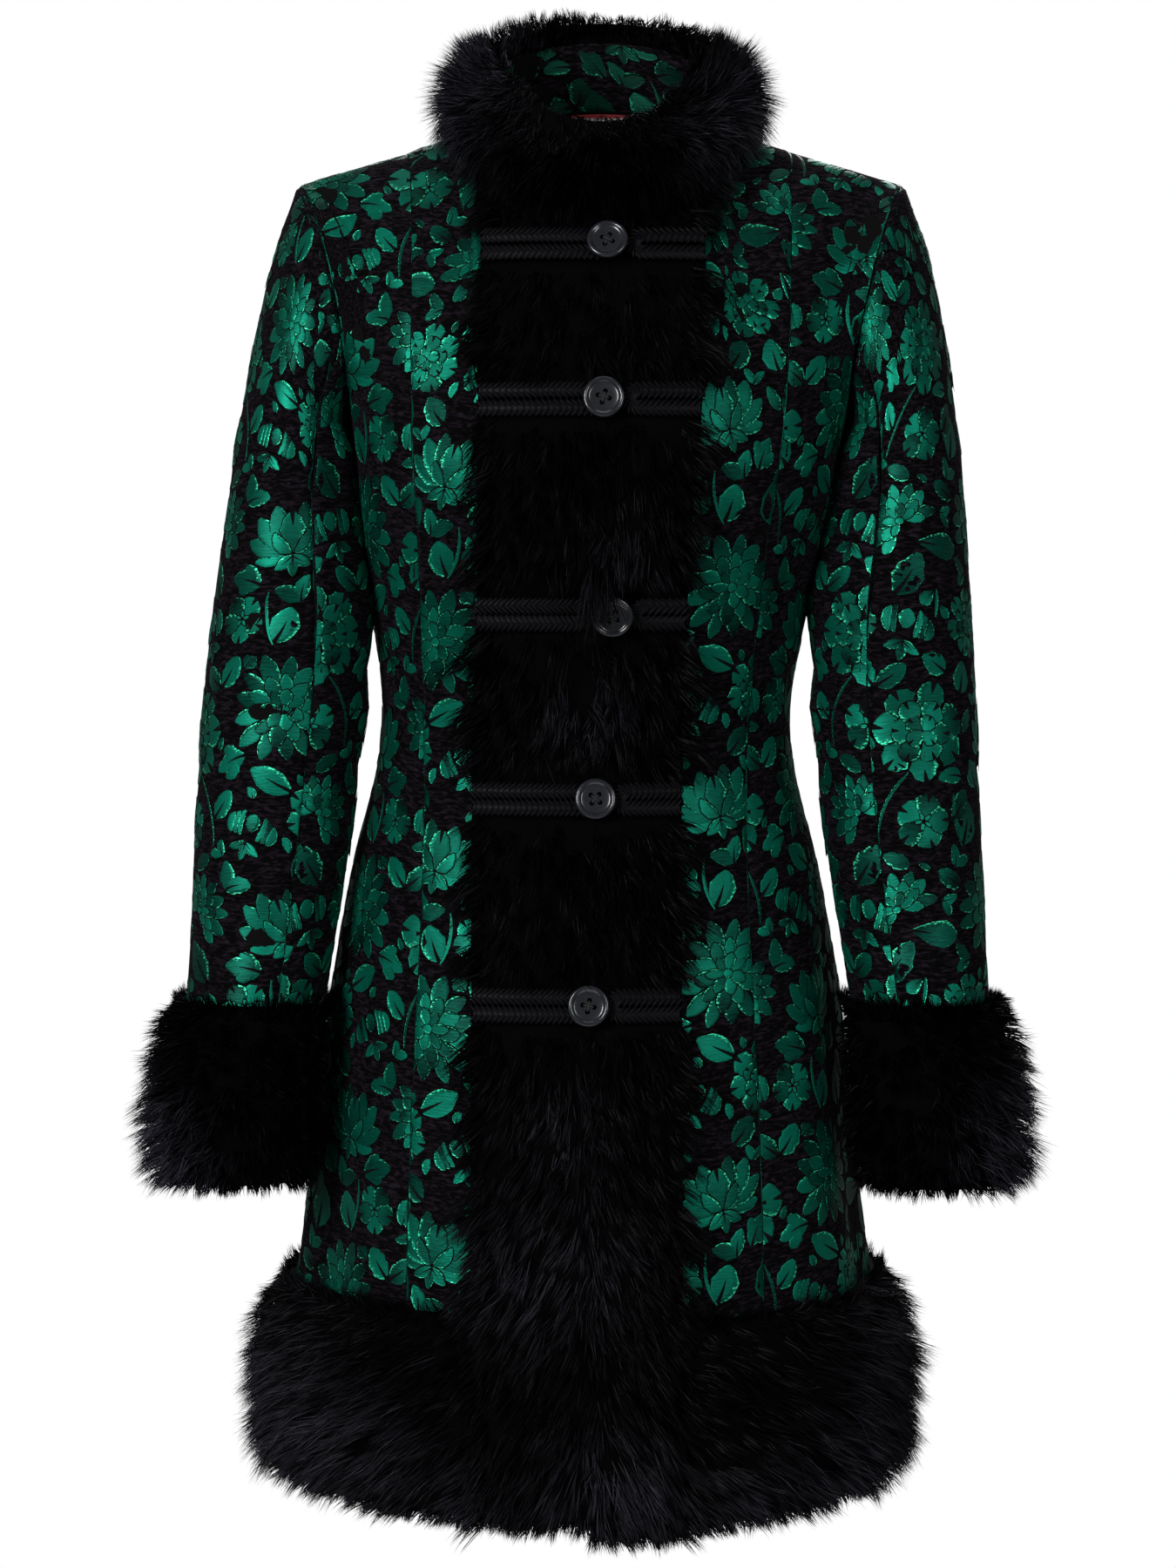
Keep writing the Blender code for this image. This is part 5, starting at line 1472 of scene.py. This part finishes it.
def buildHemFur():
    heights = np.interp(np.linspace(0, 1, hemFur["rows"]), np.linspace(0, 1, len(hemFur["z"])), hemFur["z"])
    halves = {}
    for side in (right, left):
        lastCentre, lastSide, lastBack = (columnsOf(part, side) - 1 for part in ("centre", "side", "back"))
        onCentre, onSide, onBack = hemFur["columns"]
        centre = bodyGrid("centre", side, heights, [], np.linspace(body["bandColumn"], lastCentre, onCentre))
        sides = bodyGrid("side", side, heights, [], np.linspace(0, lastSide, onSide))
        backs = bodyGrid("back", side, heights, [], np.linspace(lastBack, 0, onBack))
        halves[side] = np.concatenate([centre[:, :-1], sides, backs[:, 1:]], 1)
    grid = laid(np.concatenate([halves[right][:, :-1], halves[left][:, ::-1]], 1), True)
    share = np.interp(heights, hemFur["z"], hemFur["share"])
    count = grid.shape[1]
    ends = np.minimum(np.arange(count), count - 1 - np.arange(count))
    pile = share[:, None] * hemFur["pile"] * np.interp(ends, *hemFur["ends"])[None]
    # Combed away from the centre front and the centre back towards each side, and down.
    along = unit(np.gradient(grid, axis=1))
    middle = grid[..., 0] - hemFur["middleX"]
    sideways = along * np.sign(along[..., :1]) * np.sign(middle)[..., None]
    comb = sideways * np.interp(np.abs(middle), *hemFur["sideways"])[..., None]
    comb[..., 2] -= np.interp(heights, *hemFur["down"])[:, None]
    growFur("hem_fur", grid, True, pile, comb, hemFur["stand"], hemFur["strands"], pelt=slice(None))
    for word in ("low", "top"):
        rows, way, lean, pile, stand, strands = hemFur[word]
        comb = sideways[rows] * lean + np.array([0, 0, way])
        growFur(f"hem_fur_{word}", grid[rows], True, pile, comb, stand, strands)


cuffFur = dict(
    pile=26.5, strands=16000, rows=22, turnStep=7.5, stand=0.95, lastRing={right: 15.5, left: 15.65},
    down=[0.40, 0.78, 0.97, 1.00, 0.60], innerShare={right: 0.27, left: 0.46}, outerShare=0.62,
    comb=([12, 13, 16], [0.05, -0.30, -0.62]), edgeStrands=3400, edgeStand=0.45,
    # Edge fur: its rows, way up or down and pile
    low=(slice(-4, None), -1.0, 8.0), top=(slice(0, 4), 0.8, 10.0),
)


def buildCuff(side):
    name = f"cuff_fur_{sideWords[side]}"
    flip = side == right
    rings = np.linspace(sleeve["cuffRing"], cuffFur["lastRing"][side], cuffFur["rows"])
    turns = np.arange(0, 360, cuffFur["turnStep"])
    grid = laid(sleeveGrid(side, rings, turns), flip, True)
    down = np.interp(rings, np.linspace(rings[0], rings[-1], len(cuffFur["down"])), cuffFur["down"])
    outside = ease(cuffFur["outerShare"] + cuffFur["outerShare"] * np.cos(np.radians(turns)))
    pile = down[:, None] * blend(cuffFur["innerShare"][side], 1.0, outside)[None] * cuffFur["pile"]
    comb = brushed(grid, 0.0, np.interp(rings, *cuffFur["comb"])[:, None])
    growFur(name, grid, flip, pile, comb, cuffFur["stand"], cuffFur["strands"], True, sleeve["sway"],
            pelt=slice(None))
    for word in ("low", "top"):
        rows, way, pile = cuffFur[word]
        growFur(f"{name}_{word}", grid[rows], flip, pile, brushed(grid[rows], 0.0, way), cuffFur["edgeStand"],
                cuffFur["edgeStrands"], True, sleeve["sway"])


def buildFur():
    furMaterial()
    underfurMaterial()
    buildCollarFur()
    for side in (right, left):
        buildFrontFur(side)
        buildCuff(side)
    buildHemFur()
    buildLock()


# Gimp braid: rayon cords plaited in a herringbone, black with a low silky gleam on each crossing.
def braidMaterial():
    cord = dict(twistPitch=0.9)
    tree, shader = newMaterial("rayonGimpBraid")
    place = addNode(tree, "TexCoord", {}, "Object")
    scale = 1 / (cord["twistPitch"] * mm)
    twist = addNode(tree, "TexNoise", {"Scale": scale, "Detail": 1.0, "Vector": place})
    setNode(tree, shader, {
        "Roughness": 0.5, "Specular IOR Level": 0.07,
        "Base Color": addNode(tree, "Mix", {"data_type": "RGBA", 0: twist, 6: "#010102", 7: "#0f0e12"}, 2),
        "Normal": addNode(tree, "Bump", {"Strength": 0.5, "Distance": 0.0004, "Height": twist}),
    })


braid = dict(
    width=9.4, thick=3.2, centre=5.2, inset=3.0, groove=7.0, pitch=3.0, foldStitches=7, lean=0.85,
    stitchLong=7.8, stitchWide=1.6, stitchHigh=2.8, stitchOff=0.29, stitchStep=0.25,
    tapeHalf=0.44, tapeLow=-1.2, tapeHigh=0.2, sunk=0.42,
)


def braidPath(z, startX, endX):
    heading = math.copysign(1.0, endX - startX)
    foldX = endX - heading * (braid["centre"] + braid["width"] / 2)
    legCount = int(abs(foldX - startX) / braid["pitch"])
    xs = np.linspace(startX, foldX, legCount)
    turn = np.linspace(0, math.pi, braid["foldStitches"] + 2)[1:-1]
    x = np.concatenate([xs, foldX + heading * braid["centre"] * np.sin(turn), xs[::-1]])
    height = np.concatenate([np.full(legCount, z + braid["centre"]), z + braid["centre"] * np.cos(turn),
                             np.full(legCount, z - braid["centre"])])
    return x, height


def stitchTemplate(around=6, bands=5, blunt=0.12):
    turn = np.linspace(0, fullTurn, around, endpoint=False)
    tilt = np.linspace(blunt, math.pi - blunt, bands)
    points = np.stack([np.cos(tilt)[:, None] + 0 * turn, np.sin(tilt)[:, None] * np.cos(turn),
                       np.sin(tilt)[:, None] * np.sin(turn)], -1)
    return points.reshape(-1, 3), gridFaces(bands, around, True, True)


def buildBraid(node, z, startX, endX, seat):
    x, height = braidPath(z, startX, endX)
    lift = cloth["laidGap"] + braid["groove"] + seat + braid["thick"] * braid["sunk"]
    points, out = frontPlace(x, height, lift)
    along = unit(np.gradient(points, axis=0))
    across = unit(np.cross(out, along))
    template, faces = stitchTemplate()
    sizes = template * np.array([braid["stitchLong"], braid["stitchWide"], braid["stitchHigh"]]) / 2
    every, allFaces = [], []
    for row in (-1, 1):
        lean = row * braid["lean"]
        for i in range(len(points)):
            long = along[i] * math.cos(lean) + across[i] * math.sin(lean)
            wide = unit(np.cross(out[i], long))
            off = across[i] * row * braid["width"] * braid["stitchOff"]
            off = off + out[i] * braid["stitchStep"] * (i % 2)
            allFaces.append(faces + len(every) * len(template))
            every.append(points[i] + off + sizes @ np.stack([long, wide, out[i]]))
    # A flat tape under the stitches
    low, high = braid["tapeLow"], braid["tapeHigh"]
    tape = np.stack([points + across * s * braid["width"] * braid["tapeHalf"] + out * h
                     for s, h in ((-1, low), (-1, high), (1, high), (1, low))], 1)
    allFaces.append(gridFaces(len(points), 4, False, True, len(every) * len(template)))
    piece = meshOf(node + "_plait", np.concatenate(every + [tape.reshape(-1, 3)]), np.concatenate(allFaces),
                   "rayonGimpBraid")
    attach(piece, node)
    return len(piece.data.polygons) * 2


# Polyester button: cast and polished slate grey, faintly clouded, with a clear gloss on its rim.
def buttonMaterial():
    cloud = dict(size=5.0)
    tree, shader = newMaterial("castPolyesterButton")
    place = addNode(tree, "TexCoord", {}, "Object")
    clouds = addNode(tree, "TexNoise", {"Scale": 1 / (cloud["size"] * mm), "Detail": 3.0, "Vector": place})
    setNode(tree, shader, {
        "Roughness": 0.22, "Specular IOR Level": 0.5, "Coat Weight": 0.15, "Coat Roughness": 0.05,
        "Base Color": addNode(tree, "Mix", {"data_type": "RGBA", 0: clouds, 6: "#0f1115", 7: "#1c1f25"}, 2),
    })


# Sewing thread: twisted polyester, dark and matt.
def threadMaterial():
    strand = dict(twistPitch=0.349)
    tree, shader = newMaterial("sewingThread")
    place = addNode(tree, "TexCoord", {}, "Object")
    scale = fullTurn / 20 / (strand["twistPitch"] * mm)    # a wave goes 20 radians to the unit
    twist = addNode(tree, "TexWave", {"Scale": scale, "Vector": place})
    colour = addNode(tree, "Mix", {"data_type": "RGBA", 0: twist, 6: "#020203", 7: "#0b0b0d"}, 2)
    setNode(tree, shader, {"Roughness": 0.7, "Base Color": colour})


button = dict(
    # radius and height of the turned rings, from the back's edge over the rim to the face
    rings=[(9.8, 0.0), (11.4, 0.35), (12.3, 1.0), (12.5, 1.9), (12.5, 2.9), (12.2, 3.8), (11.6, 4.35),
           (10.9, 4.45), (10.2, 4.25), (9.5, 3.6), (8.9, 3.1), (8.2, 2.9), (5.0, 2.75)],
    steps=56, sharpFrom=38.0, holeRadius=1.5, holeOffset=2.5, holeSteps=20, drill=20.0,
    spin=[0.35, 0.5, 0.2, 0.1, 0.6], threadRadius=0.55, threadHeight=3.15, threadStep=0.3, threadSag=0.4,
    threadEnd=1.2, threadDip=0.92, threadRings=13, threadSteps=8,
)


def holeTurns(number, count):
    return [button["spin"][number - 1] + math.pi / 2 * i + math.pi / 4 for i in range(count)]


def closeEnds(mesh):
    shape = bmesh.new()
    shape.from_mesh(mesh)
    bmesh.ops.holes_fill(shape, edges=[edge for edge in shape.edges if edge.is_boundary], sides=0)
    bmesh.ops.recalc_face_normals(shape, faces=shape.faces)
    shape.to_mesh(mesh)
    shape.free()


def holeCutter(number):
    shape = bmesh.new()
    reach, radius = button["holeOffset"] * math.sqrt(2), button["holeRadius"] * mm
    for turn in holeTurns(number, 4):
        made = bmesh.ops.create_cone(shape, cap_ends=True, segments=button["holeSteps"], radius1=radius,
                                     radius2=radius, depth=button["drill"] * mm)
        bmesh.ops.translate(shape, verts=made["verts"],
                            vec=Vector((reach * math.cos(turn), reach * math.sin(turn), 0)) * mm)
    mesh = bpy.data.meshes.new(f"holes_{number}")
    shape.to_mesh(mesh)
    shape.free()
    return linked(f"holes_{number}", mesh)


def crossThread(number):
    # Two crossed bars of thread that dip into the holes.
    share = np.linspace(-1, 1, button["threadRings"])
    around = np.linspace(0, fullTurn, button["threadSteps"], endpoint=False)
    upward = np.array([0, 0, 1.0])
    every, faces = [], []
    for i, turn in enumerate(holeTurns(number, 2)):
        along = np.array([math.cos(turn), math.sin(turn), 0])
        across = np.array([-math.sin(turn), math.cos(turn), 0])
        bar = button["threadHeight"] + button["threadStep"] * i - button["threadSag"] * share ** 4
        height = np.where(np.abs(share) < button["threadDip"], bar, button["threadEnd"])
        middle = share[:, None] * button["holeOffset"] * math.sqrt(2) * along + height[:, None] * upward
        ring = button["threadRadius"] * (np.cos(around)[:, None] * across + np.sin(around)[:, None] * upward)
        every.append((middle[:, None] + ring[None]).reshape(-1, 3))
        faces.append(gridFaces(len(share), len(around), True, True, i * len(share) * len(around)))
    return meshOf(f"button_{number}_thread", np.concatenate(every), np.concatenate(faces), "sewingThread")


def buildButton(number, x, z, loopSeat, seat):
    place, out = frontPlace(x, z, cloth["laidGap"] + braid["groove"] + loopSeat + braid["thick"] + seat)
    radius, height = (np.array(column)[:, None] for column in zip(*button["rings"]))
    angle = np.linspace(0, fullTurn, button["steps"], endpoint=False)
    points = np.stack([radius * np.cos(angle), radius * np.sin(angle), height + 0 * angle], -1)
    faces = gridFaces(*points.shape[:2], False, True)
    disc = meshOf(f"button_{number}_turned", points, faces, "castPolyesterButton")
    closeEnds(disc.data)
    holes, thread = holeCutter(number), crossThread(number)
    for thing in (disc, holes, thread):
        thing.rotation_mode = "QUATERNION"
        thing.rotation_quaternion = Vector(out[0]).to_track_quat("Z", "Y")
        thing.location = place[0] * mm
    # Drill the four holes and keep the drilled shape alone.
    cut = disc.modifiers.new("holes", "BOOLEAN")
    cut.operation = "DIFFERENCE"
    cut.solver = "EXACT"
    cut.object = holes
    bpy.context.view_layer.update()
    drilled = bpy.data.meshes.new_from_object(disc.evaluated_get(bpy.context.evaluated_depsgraph_get()))
    disc.modifiers.clear()
    disc.data = drilled
    bpy.data.objects.remove(holes, do_unlink=True)
    drilled.shade_smooth()
    drilled.set_sharp_from_angle(angle=math.radians(button["sharpFrom"]))
    attach(disc, f"button_{number}")
    attach(thread)


def buildFastenings():
    braidMaterial()
    buttonMaterial()
    threadMaterial()
    total = 0
    loopX, tabX = braid["inset"] - body["bandX"][right], body["bandX"][left] - braid["inset"]
    for number, (z, buttonX, loopEnd, tabEnd, loopSeat, tabSeat, buttonSeat) in enumerate(frogs, start=1):
        total += buildBraid(f"frog_loop_{number}", z, loopX, loopEnd, loopSeat)
        total += buildBraid(f"frog_tab_{number}", z, tabX, tabEnd, tabSeat)
        buildButton(number, buttonX, z, loopSeat, buttonSeat)
    print("frogs and buttons: %d triangles of braid" % total)


# Woven ribbon label: plain off-white ribs with a red selvedge along the top.
def dressLabel():
    ribbon = dict(ribPitch=0.9, redFrom=3.0, redFull=2.2)
    tree, shader = newMaterial("wovenRibbonLabel")
    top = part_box("neck_label")[1][2]
    place = addNode(tree, "TexCoord", {}, "Object")
    up = addNode(tree, "SeparateXYZ", {0: place}, "Z")
    edge = addNode(tree, "MapRange", {"From Min": top - ribbon["redFrom"] * mm,
                                      "From Max": top - ribbon["redFull"] * mm, "Value": up})
    ribs = addNode(tree, "TexNoise", {"Scale": 1 / (ribbon["ribPitch"] * mm), "Detail": 1.0, "Vector": place})
    pale = addNode(tree, "Mix", {"data_type": "RGBA", 0: ribs, 6: "#8d8a8a", 7: "#b9b5b3"}, 2)
    colour = addNode(tree, "Mix", {"data_type": "RGBA", 0: edge, 6: pale, 7: "#8c1f28"}, 2)
    setNode(tree, shader, {"Roughness": 0.75, "Base Color": colour})
    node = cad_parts["neck_label"]
    node.data.materials.clear()
    node.data.materials.append(looks["wovenRibbonLabel"])


buildStudio()
print("studio ready")
flowers = drawRepeat()
buildBrocade()
print("brocade ready")
buildFur()
print("fur ready")
buildFastenings()
dressLabel()
